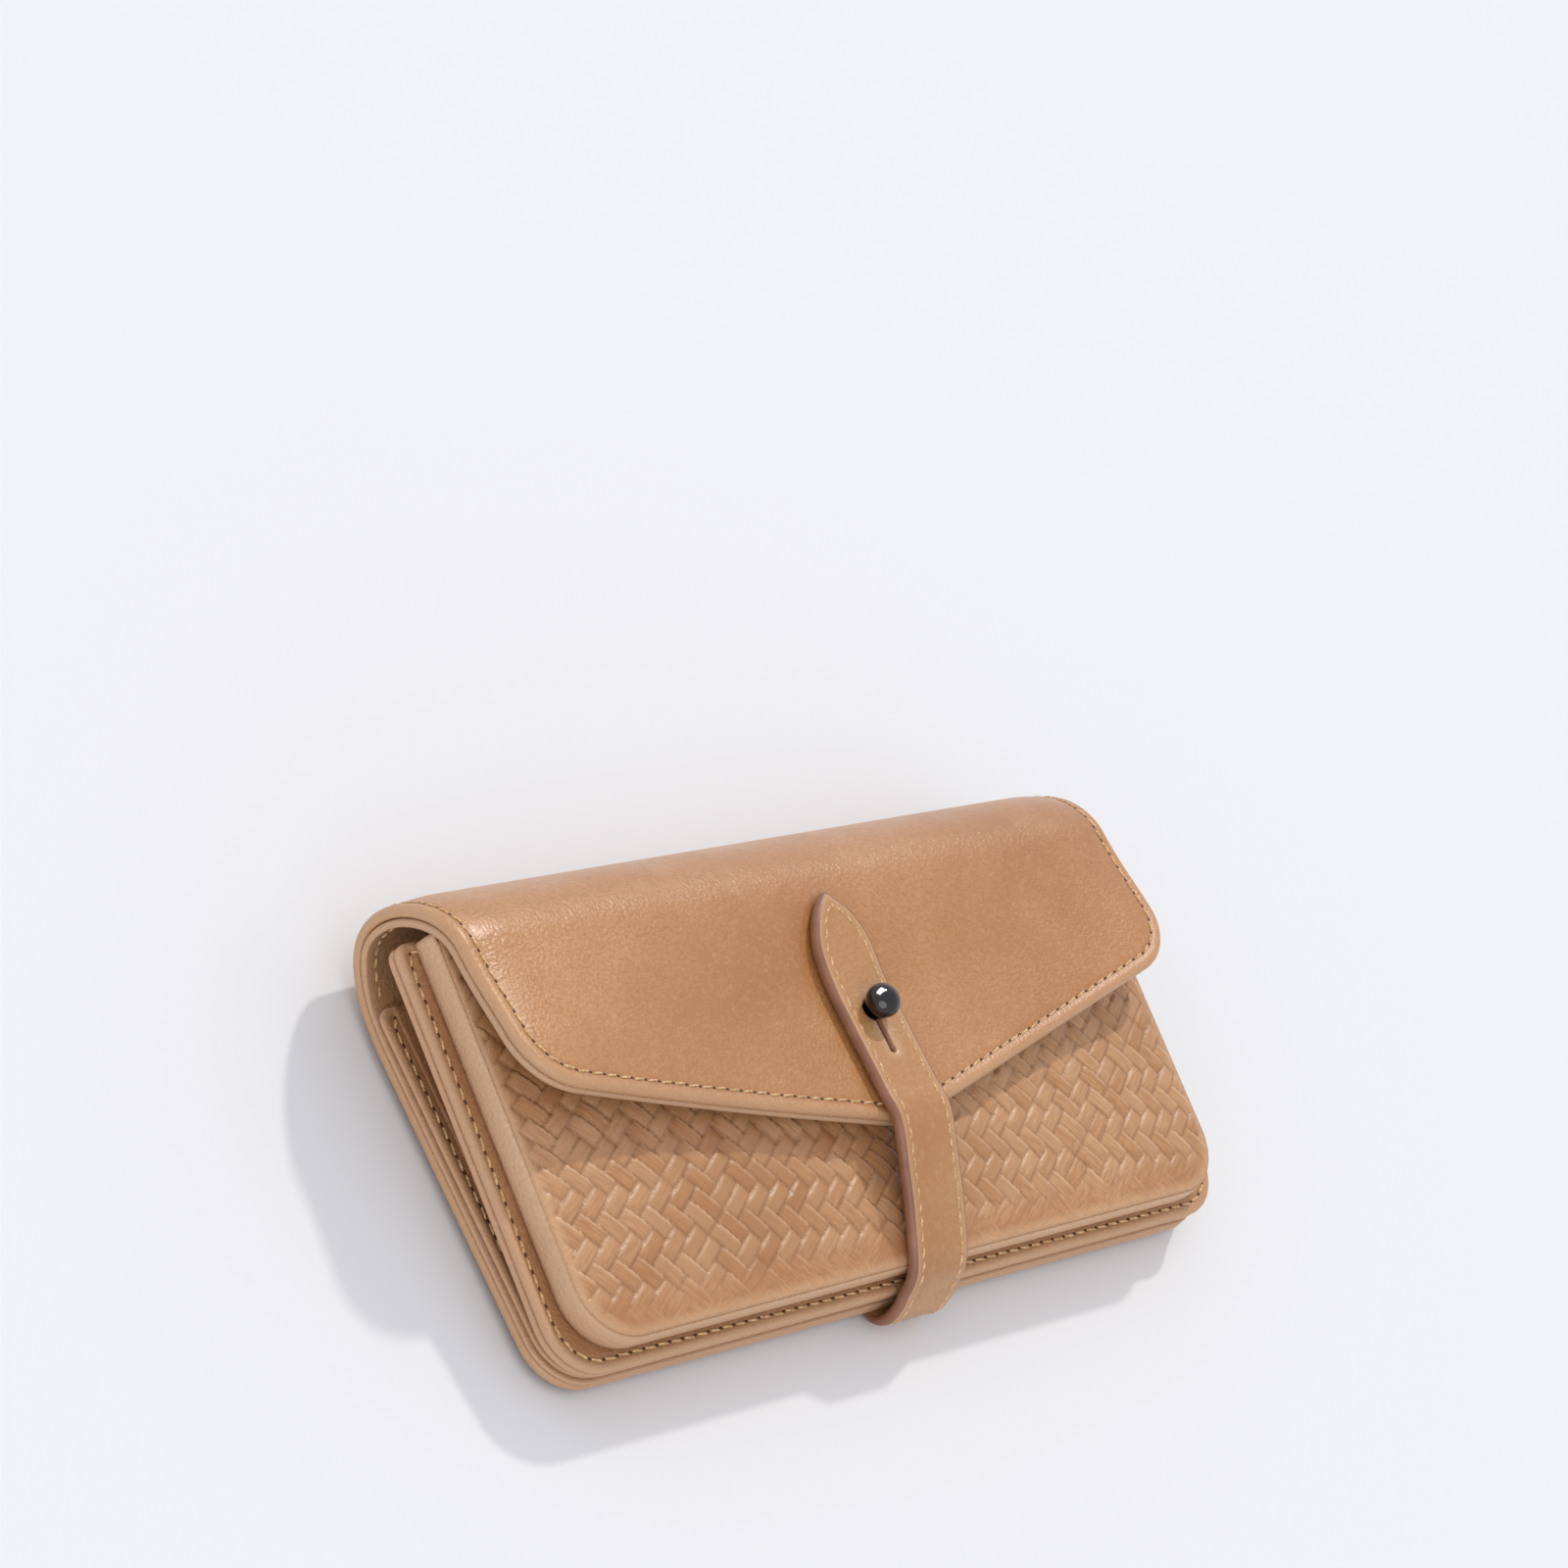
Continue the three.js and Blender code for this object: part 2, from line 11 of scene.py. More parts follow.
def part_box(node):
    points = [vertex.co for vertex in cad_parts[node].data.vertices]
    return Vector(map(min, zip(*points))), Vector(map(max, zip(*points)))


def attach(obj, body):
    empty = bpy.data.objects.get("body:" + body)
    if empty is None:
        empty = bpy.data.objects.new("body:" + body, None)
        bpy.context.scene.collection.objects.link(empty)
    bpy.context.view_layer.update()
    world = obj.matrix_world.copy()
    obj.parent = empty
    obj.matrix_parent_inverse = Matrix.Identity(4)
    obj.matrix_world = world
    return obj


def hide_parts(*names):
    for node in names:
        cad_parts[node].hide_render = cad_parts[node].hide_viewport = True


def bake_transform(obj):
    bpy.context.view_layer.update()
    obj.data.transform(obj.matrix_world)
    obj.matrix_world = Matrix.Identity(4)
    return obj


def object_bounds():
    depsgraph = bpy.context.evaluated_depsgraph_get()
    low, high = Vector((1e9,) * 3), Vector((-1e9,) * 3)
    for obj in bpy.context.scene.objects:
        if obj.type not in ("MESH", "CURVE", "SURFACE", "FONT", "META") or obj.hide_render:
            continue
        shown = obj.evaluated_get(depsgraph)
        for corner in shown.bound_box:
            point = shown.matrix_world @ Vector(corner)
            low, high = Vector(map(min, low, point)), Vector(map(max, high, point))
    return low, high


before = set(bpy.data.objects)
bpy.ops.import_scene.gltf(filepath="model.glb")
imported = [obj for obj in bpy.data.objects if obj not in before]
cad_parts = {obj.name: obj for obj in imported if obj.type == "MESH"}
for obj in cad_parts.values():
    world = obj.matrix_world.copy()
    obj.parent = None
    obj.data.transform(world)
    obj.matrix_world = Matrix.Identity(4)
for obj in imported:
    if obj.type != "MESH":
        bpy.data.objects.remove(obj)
cad_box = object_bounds()

MM = 0.001
EDGE_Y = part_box("back_outer_leather")[0][1] / MM  # the wallet's bottom edge in the row's frame
rng = np.random.default_rng(11)  # small differences between the stitches

# Sizes in millimetres, as in the solids. Y is measured from the bottom edge and Z from the table.
LENGTH = 190.0
BACK_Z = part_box("back_outer_leather")[0][2] / MM
FOLD_START_Y = 78.5
FOLD_RISE = 18.3
FOLD_HALF_DEPTH = 15.6
FOLD_LEAN = 3.5
FOLD_AXIS_Z = BACK_Z + FOLD_HALF_DEPTH
FLAP_Z = BACK_Z + 2 * FOLD_HALF_DEPTH
FLAP_HALF = 91.0
FLAP_CORNER_Y = 49.0
FLAP_TIP_Y = 27.0
FLAP_RADIUS = 14.0
FLAP_DIP = 3.2
FLAP_DIP_LENGTH = 26.0
FLAP_FLARE = 2.2
SIDE_ROLL = 1.3  # how far the fold's and the flap's side edges roll in
SIDE_ROLL_WIDTH = 12.0
BOTTOM_RADIUS = 11.0
OUTER_T = 2.25
LINING_DEPTH = 2.35
LINING_T = 1.0  # on the back, where the pocket panel covers it
LINING_FLAP_EXTRA = 0.6
SHELL_SEAM = 3.0  # each seam's distance from its edge
POCKET_SEAM = 2.4
MIDDLE_SEAM = 2.2
STRAP_SEAM = 2.5
POCKET_T = 0.95
POCKET_TOP = 80.5
MIDDLE_REAR_T = 1.72
MIDDLE_FRONT_T = 1.93
MIDDLE_FACE_HEIGHT = 3.7
MIDDLE_TOP = 88
WEDGE = math.atan(0.1035)
FRONT_Z = BACK_Z + 4.7
BAND_HALF = 90.5
BAND_BOTTOM = 3.6
BAND_TOP = 87.0
BAND_RADIUS = 12.0
STUD_Y = 50.2
STRAP_HALF = 8.0
STRAP_T = 2.6
SEWN_T = 1.6  # the strap's sewn end is thinner
KEYHOLE_RADIUS = 2.0
KEYHOLE_LENGTH = 9.0
SLIT_RADIUS = 0.38
STITCH_PITCH = 3.4
WEAVE_WIDTH = 3.5
WEAVE_RISE = math.radians(36)  # the strips that run up to the right
WEAVE_FALL = math.radians(49)  # the strips that run down to the right
WEAVE_SHIFT_RISE = 40.3  # where the pattern starts, in strips
WEAVE_SHIFT_FALL = 40.6
DIAMOND_RISE = 9  # strips until the twill turns round
DIAMOND_FALL = 11
RIM_WIDTH = 2.6  # how far in from the edge the leather turns paler


# --- Meshes ---------------------------------------------------------------------------------------


def place(points):
    """Millimetres from the bottom edge, as metres in the row's frame."""
    moved = np.array(points, float)
    moved[..., 1] += EDGE_Y
    return moved * MM


def make_object(name, points, faces, materials, face_slots=None):
    mesh = bpy.data.meshes.new(name)
    mesh.from_pydata(place(points).tolist(), [], [tuple(int(i) for i in face) for face in faces])
    mesh.validate()
    for material in materials:
        mesh.materials.append(material)
    if face_slots is not None:
        mesh.polygons.foreach_set("material_index", np.asarray(face_slots, dtype=np.int32))
    mesh.polygons.foreach_set("use_smooth", [True] * len(mesh.polygons))
    mesh.update()
    made = bpy.data.objects.new(name, mesh)
    bpy.context.scene.collection.objects.link(made)
    return made


def tube_faces(rings, sides, base=0):
    """The faces of a capped tube whose points are numbered ring by ring from base."""
    faces = []
    for i in range(rings - 1):
        row = base + i * sides
        for j in range(sides):
            n = (j + 1) % sides
            faces.append((row + j, row + n, row + sides + n, row + sides + j))
    last = base + (rings - 1) * sides
    faces.append(tuple(base + j for j in reversed(range(sides))))
    faces.append(tuple(last + j for j in range(sides)))
    return faces


def set_attribute(piece, name, values):
    attribute = piece.data.attributes.new(name, "FLOAT", "POINT")
    attribute.data.foreach_set("value", np.asarray(values, dtype=np.float32))


def fillet(corners, radii, step=1.2):
    """A closed outline through these corners, rounded by these radii, with points about a step apart."""
    corners = np.asarray(corners, float)
    rounded = []
    count = len(corners)
    for i in range(count):
        corner = corners[i]
        back = corners[i - 1] - corner
        ahead = corners[(i + 1) % count] - corner
        back /= np.linalg.norm(back)
        ahead /= np.linalg.norm(ahead)
        radius = radii[i]
        if radius <= 0:
            rounded.append(corner)
            continue
        half = math.acos(np.clip(back @ ahead, -1, 1)) / 2
        reach = radius / math.tan(half)
        centre = corner + (back + ahead) / np.linalg.norm(back + ahead) * radius / math.sin(half)
        start = corner + back * reach - centre
        end = corner + ahead * reach - centre
        turn = math.atan2(start[0] * end[1] - start[1] * end[0], start @ end)
        steps = max(int(abs(turn) * radius / 0.8), 3)
        for share in np.linspace(0, 1, steps):
            angle = turn * share
            c, s = math.cos(angle), math.sin(angle)
            rounded.append(centre + np.array([c * start[0] - s * start[1], s * start[0] + c * start[1]]))
    return even_spacing(np.array(rounded), step, closed=True)


def lengths_along(line):
    """Each point's distance from the first one, measured along the line."""
    return np.concatenate([[0], np.cumsum(np.linalg.norm(np.diff(line, axis=0), axis=1))])


def even_spacing(points, step, closed=False):
    points = np.asarray(points, float)
    if closed:
        points = np.vstack([points, points[:1]])
    along = lengths_along(points)
    count = max(int(round(along[-1] / step)), 4)
    stations = np.linspace(0, along[-1], count + 1)
    if closed:
        stations = stations[:-1]
    return np.stack([np.interp(stations, along, points[:, k]) for k in range(points.shape[1])], axis=1)


def inward(outline):
    """Unit normals into a closed outline that runs anticlockwise."""
    tangent = np.roll(outline, -1, axis=0) - np.roll(outline, 1, axis=0)
    tangent /= np.linalg.norm(tangent, axis=1, keepdims=True)
    return np.stack([-tangent[:, 1], tangent[:, 0]], axis=1)


def inside(points, outline):
    """Which points lie in a closed outline, by counting the edges to one side of them."""
    result = np.zeros(len(points), bool)
    x, y = points[:, 0], points[:, 1]
    previous = outline[-1]
    for current in outline:
        crosses = (current[1] > y) != (previous[1] > y)
        with np.errstate(divide="ignore", invalid="ignore"):
            at = (previous[0] - current[0]) * (y - current[1]) / (previous[1] - current[1]) + current[0]
        result ^= crosses & (x < at)
        previous = current
    return result


def distance_to(points, outline, block_size=64):
    """Each point's distance to the nearest outline point, worked out in blocks to save memory."""
    nearest = np.full(len(points), np.inf)
    for start in range(0, len(outline), block_size):
        block = outline[start : start + block_size]
        gap = ((points[:, None, :] - block[None]) ** 2).sum(axis=2).min(axis=1)
        nearest = np.minimum(nearest, gap)
    return np.sqrt(nearest)


# How far in from an edge, or out from a hole, the rows of points lie that shape its rim.
RINGS = (0.0, 0.1, 0.3, 0.6, 1.0, 1.5, 2.0, 2.5, 3.0, 3.6, 4.4)
WOVEN_RINGS = (0.0, 0.1, 0.3, 0.55, 0.8, 1.15, 1.5)
HOLE_RINGS = (0.0, 0.12, 0.3, 0.6)


def flat_mesh(outline, spacing, holes=(), rings=RINGS):
    """Points, triangles and each point's distance to the edge, for a flat outline with rings along it."""
    normals = inward(outline)
    layers = [outline + normals * offset for offset in rings]
    edges = [(i, (i + 1) % len(outline)) for i in range(len(outline))]
    used = len(outline) * len(rings)
    hole_layers = []
    for hole in holes:
        hole_normals = inward(hole)
        hole_layers += [hole - hole_normals * offset for offset in HOLE_RINGS]
        edges += [(used + i, used + (i + 1) % len(hole)) for i in range(len(hole))]
        used += len(hole) * len(HOLE_RINGS)
    low, high = outline.min(axis=0), outline.max(axis=0)
    across = np.arange(low[0], high[0], spacing[0])
    up = np.arange(low[1], high[1], spacing[1])
    grid = np.stack(np.meshgrid(across, up), axis=-1)
    grid[1::2, :, 0] += spacing[0] / 2
    grid = grid.reshape(-1, 2)
    keep = inside(grid, outline) & (distance_to(grid, outline) > rings[-1] + 0.4 * max(spacing))
    for hole in holes:
        keep &= ~inside(grid, hole) & (distance_to(grid, hole) > HOLE_RINGS[-1] + 0.5)
    points = np.vstack(layers + hole_layers + [grid[keep]])
    result = geometry.delaunay_2d_cdt([Vector(p) for p in points], edges, [], 0, 1e-5, True)
    flat = np.array([tuple(p) for p in result[0]])
    triangles = np.array(result[2])
    middle = flat[triangles].mean(axis=1)
    good = inside(middle, outline)
    for hole in holes:
        good &= ~inside(middle, hole)
    triangles = triangles[good]
    a, b, c = (flat[triangles[:, k]] for k in range(3))
    area = (b[:, 0] - a[:, 0]) * (c[:, 1] - a[:, 1]) - (b[:, 1] - a[:, 1]) * (c[:, 0] - a[:, 0])
    triangles[area < 0] = triangles[area < 0][:, ::-1]
    distance = distance_to(flat, even_spacing(outline, 0.3, closed=True))
    first = np.array([ids[0] if ids else -1 for ids in result[3]])
    on_rim = (first >= 0) & (first < len(outline))
    distance[on_rim] = 0
    used = len(outline) * len(rings)
    for hole in holes:
        to_hole = distance_to(flat, even_spacing(hole, 0.1, closed=True))
        to_hole[(first >= used) & (first < used + len(hole))] = 0
        distance = np.minimum(distance, to_hole)
        used += len(hole) * len(HOLE_RINGS)
    return flat, triangles, distance


def rounding(distance, radius):
    """How far a rounded rim of this radius drops at a distance from the edge."""
    inset = np.clip(radius - distance, 0, radius)
    return radius - np.sqrt(np.maximum(radius**2 - inset**2, 0))


def seam_channel(distance, seam_at, depth=0.2, width=0.45):
    """How far the stitches pull the leather in along a seam."""
    return depth * np.exp(-(((distance - seam_at) / width) ** 2))


def seam_swell(distance, height=0.22, middle=1.3, width=0.8):
    """How far the leather swells up between a seam and the rim."""
    swell = height * np.exp(-(((distance - middle) / width) ** 2))
    return np.where(distance > 0.05, swell * np.clip(distance / 0.6, 0, 1), 0)


def leather_panel(name, outline, surface, thickness, materials, seam_at=None, spacing=(2.6, 1.8), holes=(),
                  relief=None, rings=RINGS):
    """A closed leather panel with rounded rims: surface(x, s, depth) gives a point under its outer face."""
    flat, triangles, distance = flat_mesh(outline, spacing, holes, rings)
    radius = thickness / 2
    drop = rounding(distance, radius)
    top_depth = drop
    if seam_at is not None:
        top_depth = top_depth + seam_channel(distance, seam_at) - seam_swell(distance)
    if relief is not None:
        top_depth = top_depth - relief(flat[:, 0], flat[:, 1], distance)
    top_depth = np.where(distance <= 0, radius, top_depth)
    bottom_depth = np.where(distance <= 0, radius, thickness - drop)
    top = surface(flat[:, 0], flat[:, 1], top_depth)
    bottom = surface(flat[:, 0], flat[:, 1], bottom_depth)
    count = len(flat)
    shared = np.where(distance <= 0, np.arange(count), np.arange(count) + count)
    used = np.concatenate([np.ones(count, bool), distance > 0])
    faces = np.vstack([triangles, shared[triangles][:, ::-1]])
    renumber = np.cumsum(used) - 1
    points = np.vstack([top, bottom])[used]
    faces = renumber[faces]
    a, b, c = (points[faces[: len(triangles), k]] for k in range(3))
    normal = np.cross(b - a, c - a)
    outwards = surface_frame(surface, flat[:, 0], flat[:, 1])[1]
    if (normal * outwards[triangles[:, 0]]).sum() < 0:
        faces = faces[:, ::-1]
    piece = make_object(name, points, faces, materials)
    both = np.concatenate([distance, distance])[used]
    set_attribute(piece, "rim", np.clip(1 - both / RIM_WIDTH, 0, 1))
    return piece


# --- Surfaces -------------------------------------------------------------------------------------


def smoothstep(value, low, high):
    t = np.clip((value - low) / (high - low), 0, 1)
    return t * t * (3 - 2 * t)


BACK_POINTS = 80
FOLD_POINTS = 160
FLAP_POINTS = 60


def shell_profile():
    """The outer face in YZ: up the back, over the top fold and down the flap."""
    back = np.stack([np.linspace(0, FOLD_START_Y, BACK_POINTS), np.full(BACK_POINTS, BACK_Z)], axis=1)
    turn = np.linspace(math.pi, 0, FOLD_POINTS)
    fold = np.stack(
        [
            FOLD_START_Y + FOLD_RISE * np.sin(turn),
            FOLD_AXIS_Z + FOLD_HALF_DEPTH * np.cos(turn) - FOLD_LEAN * np.sin(turn) ** 2,
        ],
        axis=1,
    )
    flap = np.stack([np.linspace(FOLD_START_Y, 20, FLAP_POINTS), np.full(FLAP_POINTS, FLAP_Z)], axis=1)
    return np.vstack([back, fold[1:], flap[1:]])


def unit_tangents(line, smoothing=0):
    tangents = np.gradient(line, lengths_along(line), axis=0)
    for _ in range(smoothing):
        tangents[1:-1] = (tangents[:-2] + 2 * tangents[1:-1] + tangents[2:]) / 4
    return tangents / np.linalg.norm(tangents, axis=1, keepdims=True)


def along_line(s, lengths, line, tangents):
    """Y, Z and the tangent's Y and Z, this far along a line in YZ."""
    columns = (line[:, 0], line[:, 1], tangents[:, 0], tangents[:, 1])
    return [np.interp(s, lengths, column) for column in columns]


PROFILE = shell_profile()
PROFILE_LENGTH = lengths_along(PROFILE)
PROFILE_TANGENT = unit_tangents(PROFILE)
FLAP_START_S = PROFILE_LENGTH[BACK_POINTS + FOLD_POINTS - 2]  # neighbouring runs share a point

# The cut tapers from the back's width to the flap's along the fold.
TAPER_S = (FOLD_START_Y - 4, FLAP_START_S - 8)
TAPER_HALF = (LENGTH / 2, FLAP_HALF + 0.6)


def flap_s(y):
    """Where the flap passes this height."""
    return FLAP_START_S + FOLD_START_Y - y


def flap_offset(x, y):
    """How far the flap's outer face stands from the plane where it leaves the fold."""
    down = smoothstep(FOLD_START_Y - y, 0, FLAP_DIP_LENGTH)
    return down * (-FLAP_DIP + (FLAP_DIP + FLAP_FLARE) * (x / FLAP_HALF) ** 2)


def shell(x, s, depth):
    """A point of the back, fold or flap: s runs along the profile and depth goes in from the outer face."""
    y, z, ty, tz = along_line(s, PROFILE_LENGTH, PROFILE, PROFILE_TANGENT)
    on_flap = smoothstep(s, FLAP_START_S - 2, FLAP_START_S + 4)
    z = z + on_flap * flap_offset(x, y)
    half = np.interp(s, TAPER_S, TAPER_HALF)
    from_side = np.clip(half - np.abs(x), 0, SIDE_ROLL_WIDTH)
    rolled = (1 - from_side / SIDE_ROLL_WIDTH) ** 2
    depth = depth + SIDE_ROLL * rolled * smoothstep(s, FOLD_START_Y - 6, FOLD_START_Y + 26)
    return np.stack([x, y - tz * depth, z + ty * depth], axis=1)


def front_surface(z):
    """A plane of the front half, this far from the middle panel's rear face."""

    def surface(x, s, depth):
        height = z - depth
        y = s * math.cos(WEDGE) - height * math.sin(WEDGE)
        return np.stack([x, y, FRONT_Z + s * math.sin(WEDGE) + height * math.cos(WEDGE)], axis=1)

    return surface


def flat_surface(z):
    """A level plane at this height."""

    def surface(x, s, depth):
        return np.stack([x, s, z - depth + 0 * x], axis=1)

    return surface


def surface_frame(surface, x, s):
    """Points and unit normals of a surface's outer face."""
    zero = np.zeros(len(x))
    point = surface(x, s, zero)
    normal = point - surface(x, s, zero + 0.5)
    normal /= np.linalg.norm(normal, axis=1, keepdims=True)
    return point, normal


# --- Seams ----------------------------------------------------------------------------------------


STITCH_STATIONS = 7
STITCH_SIDES = 6
HOLE_SIDES = 8
HOLE_LENGTH = 0.6
HOLE_WIDTH = 0.42


def stitch_tube(centre, normal, size, base):
    """A tube along these centres, with this radius at each, and its faces, numbered from base."""
    along = np.gradient(centre, axis=0)
    along /= np.linalg.norm(along, axis=1, keepdims=True)
    across = np.cross(normal, along)
    points = []
    for k in range(STITCH_STATIONS):
        for j in range(STITCH_SIDES):
            angle = 2 * math.pi * j / STITCH_SIDES
            offset = across[k] * math.cos(angle) + normal[k] * math.sin(angle)
            points.append(centre[k] + offset * size[k])
    return points, tube_faces(STITCH_STATIONS, STITCH_SIDES, base)


def hole_lens(middle, normal, tangent, size, base):
    """A dark lens of painted shade that stands for the shadowed inside of a needle hole, and its faces,
    numbered from base.
    """
    bitangent = np.cross(normal, tangent)
    points = [middle + normal * 0.05]
    for j in range(HOLE_SIDES):
        angle = 2 * math.pi * j / HOLE_SIDES
        offset = tangent * math.cos(angle) * HOLE_LENGTH + bitangent * math.sin(angle) * HOLE_WIDTH
        points.append(middle + offset * size)
    points.append(middle - normal * 0.25)
    faces = []
    for j in range(HOLE_SIDES):
        n = (j + 1) % HOLE_SIDES
        faces.append((base, base + 1 + j, base + 1 + n))
        faces.append((base + HOLE_SIDES + 1, base + 1 + n, base + 1 + j))
    return points, faces


def seam(name, path, surface, pitch=STITCH_PITCH, radius=0.29, sunk=0.25, hole_size=1.0, closed=False):
    """Saddle stitches along a flat path on a surface, with a needle hole between each two."""
    path = even_spacing(path, pitch, closed=closed)
    if closed:
        path = np.vstack([path, path[:1]])
    t = np.linspace(0.13, 0.87, STITCH_STATIONS)
    arch = np.sin(np.pi * np.linspace(0.06, 0.94, STITCH_STATIONS)) ** 0.6
    points, faces, slots = [], [], []
    for start, end in zip(path[:-1], path[1:]):
        run = end - start
        side = np.array([-run[1], run[0]]) / np.linalg.norm(run)
        shift, swell = rng.normal(0, 0.05, 2)
        line = start + run * t[:, None] + side * (0.24 * (1 - 2 * t) + shift)[:, None]
        where, normal = surface_frame(surface, line[:, 0], line[:, 1])
        centre = where + normal * (radius * 0.95 * arch - sunk)[:, None]
        size = radius * (0.62 + 0.38 * np.sin(np.pi * t)) * (1 + swell)
        tube_points, tube_faces = stitch_tube(centre, normal, size, len(points))
        points += tube_points
        hole, hole_normal = surface_frame(surface, start[None, 0], start[None, 1])
        tangent = where[1] - where[0]
        tangent /= np.linalg.norm(tangent)
        middle = hole[0] - hole_normal[0] * 0.08
        hole_points, hole_faces = hole_lens(middle, hole_normal[0], tangent, hole_size, len(points))
        points += hole_points
        faces += tube_faces + hole_faces
        slots += [0] * len(tube_faces) + [1] * len(hole_faces)
    return make_object(name, points, faces, [THREAD, HOLE_SHADE], slots)


def offset_path(outline, offset):
    """The line this far inside a closed outline."""
    return outline + inward(outline) * offset


def run_length(good, start):
    count = 0
    while good[(start + count) % len(good)] and count < len(good):
        count += 1
    return count


def longest_run(line, good):
    """The longest unbroken run of good points on a closed line."""
    starts = np.flatnonzero(good & ~np.roll(good, 1))
    longest = max(starts, key=lambda i: run_length(good, i))
    return line[(longest + np.arange(run_length(good, longest))) % len(line)]


# --- Materials ------------------------------------------------------------------------------------


class Nodes:
    """A small helper that adds and links shader nodes."""

    def __init__(self, name):
        self.material = bpy.data.materials.new(name)
        self.material.use_nodes = True
        self.tree = self.material.node_tree
        self.shader = self.tree.nodes["Principled BSDF"]

    def add(self, kind, **values):
        node = self.tree.nodes.new(kind)
        for key, value in values.items():
            if key in node.inputs:
                node.inputs[key].default_value = value
            else:
                setattr(node, key, value)
        return node

    def link(self, source, target):
        self.tree.links.new(source, target)

    def look(self, colour=None, roughness=None, normal=None, **plain):
        """The finished material: feeds the shader's main inputs and sets numbers on its others."""
        named = {"Base Color": colour, "Roughness": roughness, "Normal": normal}
        for key, value in named.items():
            if value is not None:
                self.feed(value, self.shader.inputs[key])
        for key, value in plain.items():
            self.shader.inputs[key.replace("_", " ").title()].default_value = value
        return self.material

    def coordinates(self, stretch=(1, 1, 1), turn=0.0):
        """Object coordinates, drawn out by these factors along axes turned about Z."""
        where = self.add("ShaderNodeTexCoord")
        mapping = self.add("ShaderNodeMapping", vector_type="TEXTURE")
        mapping.inputs["Scale"].default_value = stretch
        mapping.inputs["Rotation"].default_value = (0, 0, turn)
        self.link(where.outputs["Object"], mapping.inputs["Vector"])
        return mapping.outputs["Vector"]

    def noise(self, vector, scale, detail=3.0, roughness=0.55, distortion=0.0):
        node = self.add("ShaderNodeTexNoise", Scale=scale, Detail=detail, Roughness=roughness,
                        Distortion=distortion)
        self.link(vector, node.inputs["Vector"])
        return node.outputs["Fac"]

    def grey_ramp(self, value, low, high, dark=0.0, light=1.0):
        """Dark below low, light above high, and greys between them."""
        node = self.add("ShaderNodeValToRGB")
        for element, position, grey in zip(node.color_ramp.elements, (low, high), (dark, light)):
            element.position = position
            element.color = (grey, grey, grey, 1)
        self.link(value, node.inputs["Fac"])
        return node.outputs["Color"]

    def feed(self, value, target):
        """Sets an input to a number or a colour, or links an output to it."""
        if isinstance(value, (int, float)):
            target.default_value = value
        elif isinstance(value, tuple):
            target.default_value = (*value, 1)
        else:
            self.link(value, target)

    def mix(self, factor, first, second):
        node = self.add("ShaderNodeMix", data_type="RGBA", blend_type="MIX")
        for value, index in ((factor, 0), (first, 6), (second, 7)):
            self.feed(value, node.inputs[index])
        return node.outputs[2]

    def math(self, operation, first, second):
        node = self.add("ShaderNodeMath", operation=operation)
        self.feed(first, node.inputs[0])
        self.feed(second, node.inputs[1])
        return node.outputs[0]

    def attribute(self, name):
        return self.add("ShaderNodeAttribute", attribute_name=name).outputs["Fac"]

    def bump(self, height, distance, strength=1.0, after=None):
        node = self.add("ShaderNodeBump", Strength=strength, Distance=distance)
        self.link(height, node.inputs["Height"])
        if after is not None:
            self.link(after, node.inputs["Normal"])
        return node.outputs["Normal"]


def leather(name, base, dark, light, rim, gloss=0.42, grain=1.0, coat=0.0, blotches=1.0):
    """Vegetable-tanned leather: mottled dye, fine pebble grain, faint scratches and paler turned edges."""
    n = Nodes(name)
    at = n.coordinates()
    cloud = n.noise(at, 11, detail=4, distortion=0.7)
    colour = n.mix(n.grey_ramp(cloud, 0.38, 0.62), dark, base)
    patches = n.noise(at, 34, detail=5, roughness=0.6, distortion=0.4)
    colour = n.mix(n.math("MULTIPLY", n.grey_ramp(patches, 0.48, 0.7), 0.4 * blotches), colour, light)
    speckle = n.noise(at, 1300, detail=4, roughness=0.75)
    colour = n.mix(n.grey_ramp(speckle, 0.42, 0.6, 0.0, 0.8), colour, dark)
    flecks = n.noise(at, 620, detail=5, roughness=0.7)
    colour = n.mix(n.grey_ramp(flecks, 0.5, 0.68, 0.0, 0.25), colour, light)
    scuffs = n.noise(n.coordinates((1.0, 0.12, 1.0)), 46, detail=6, roughness=0.75, distortion=1.2)
    colour = n.mix(n.grey_ramp(scuffs, 0.65, 0.68, 0.0, 0.22), colour, light)
    colour = n.mix(n.math("MULTIPLY", n.attribute("rim"), 0.75), colour, rim)
    rough = n.grey_ramp(n.noise(at, 90, detail=4), 0.3, 0.75, gloss - 0.05, gloss + 0.12)
    rough = n.math("ADD", rough, n.math("MULTIPLY", n.attribute("rim"), 0.1))
    pebbles = n.add("ShaderNodeTexVoronoi", feature="SMOOTH_F1", Scale=1450)
    n.link(at, pebbles.inputs["Vector"])
    pores = n.noise(at, 2600, detail=2)
    creases = n.noise(n.coordinates((1.0, 0.65, 1.0)), 240, detail=6, roughness=0.62)
    normal = n.bump(creases, 0.00016 * grain, 0.5)
    normal = n.bump(pebbles.outputs["Distance"], 0.00024 * grain, 0.6, normal)
    normal = n.bump(pores, 0.0001 * grain, 0.5, normal)
    return n.look(colour, rough, normal, coat_weight=coat, coat_roughness=0.3)


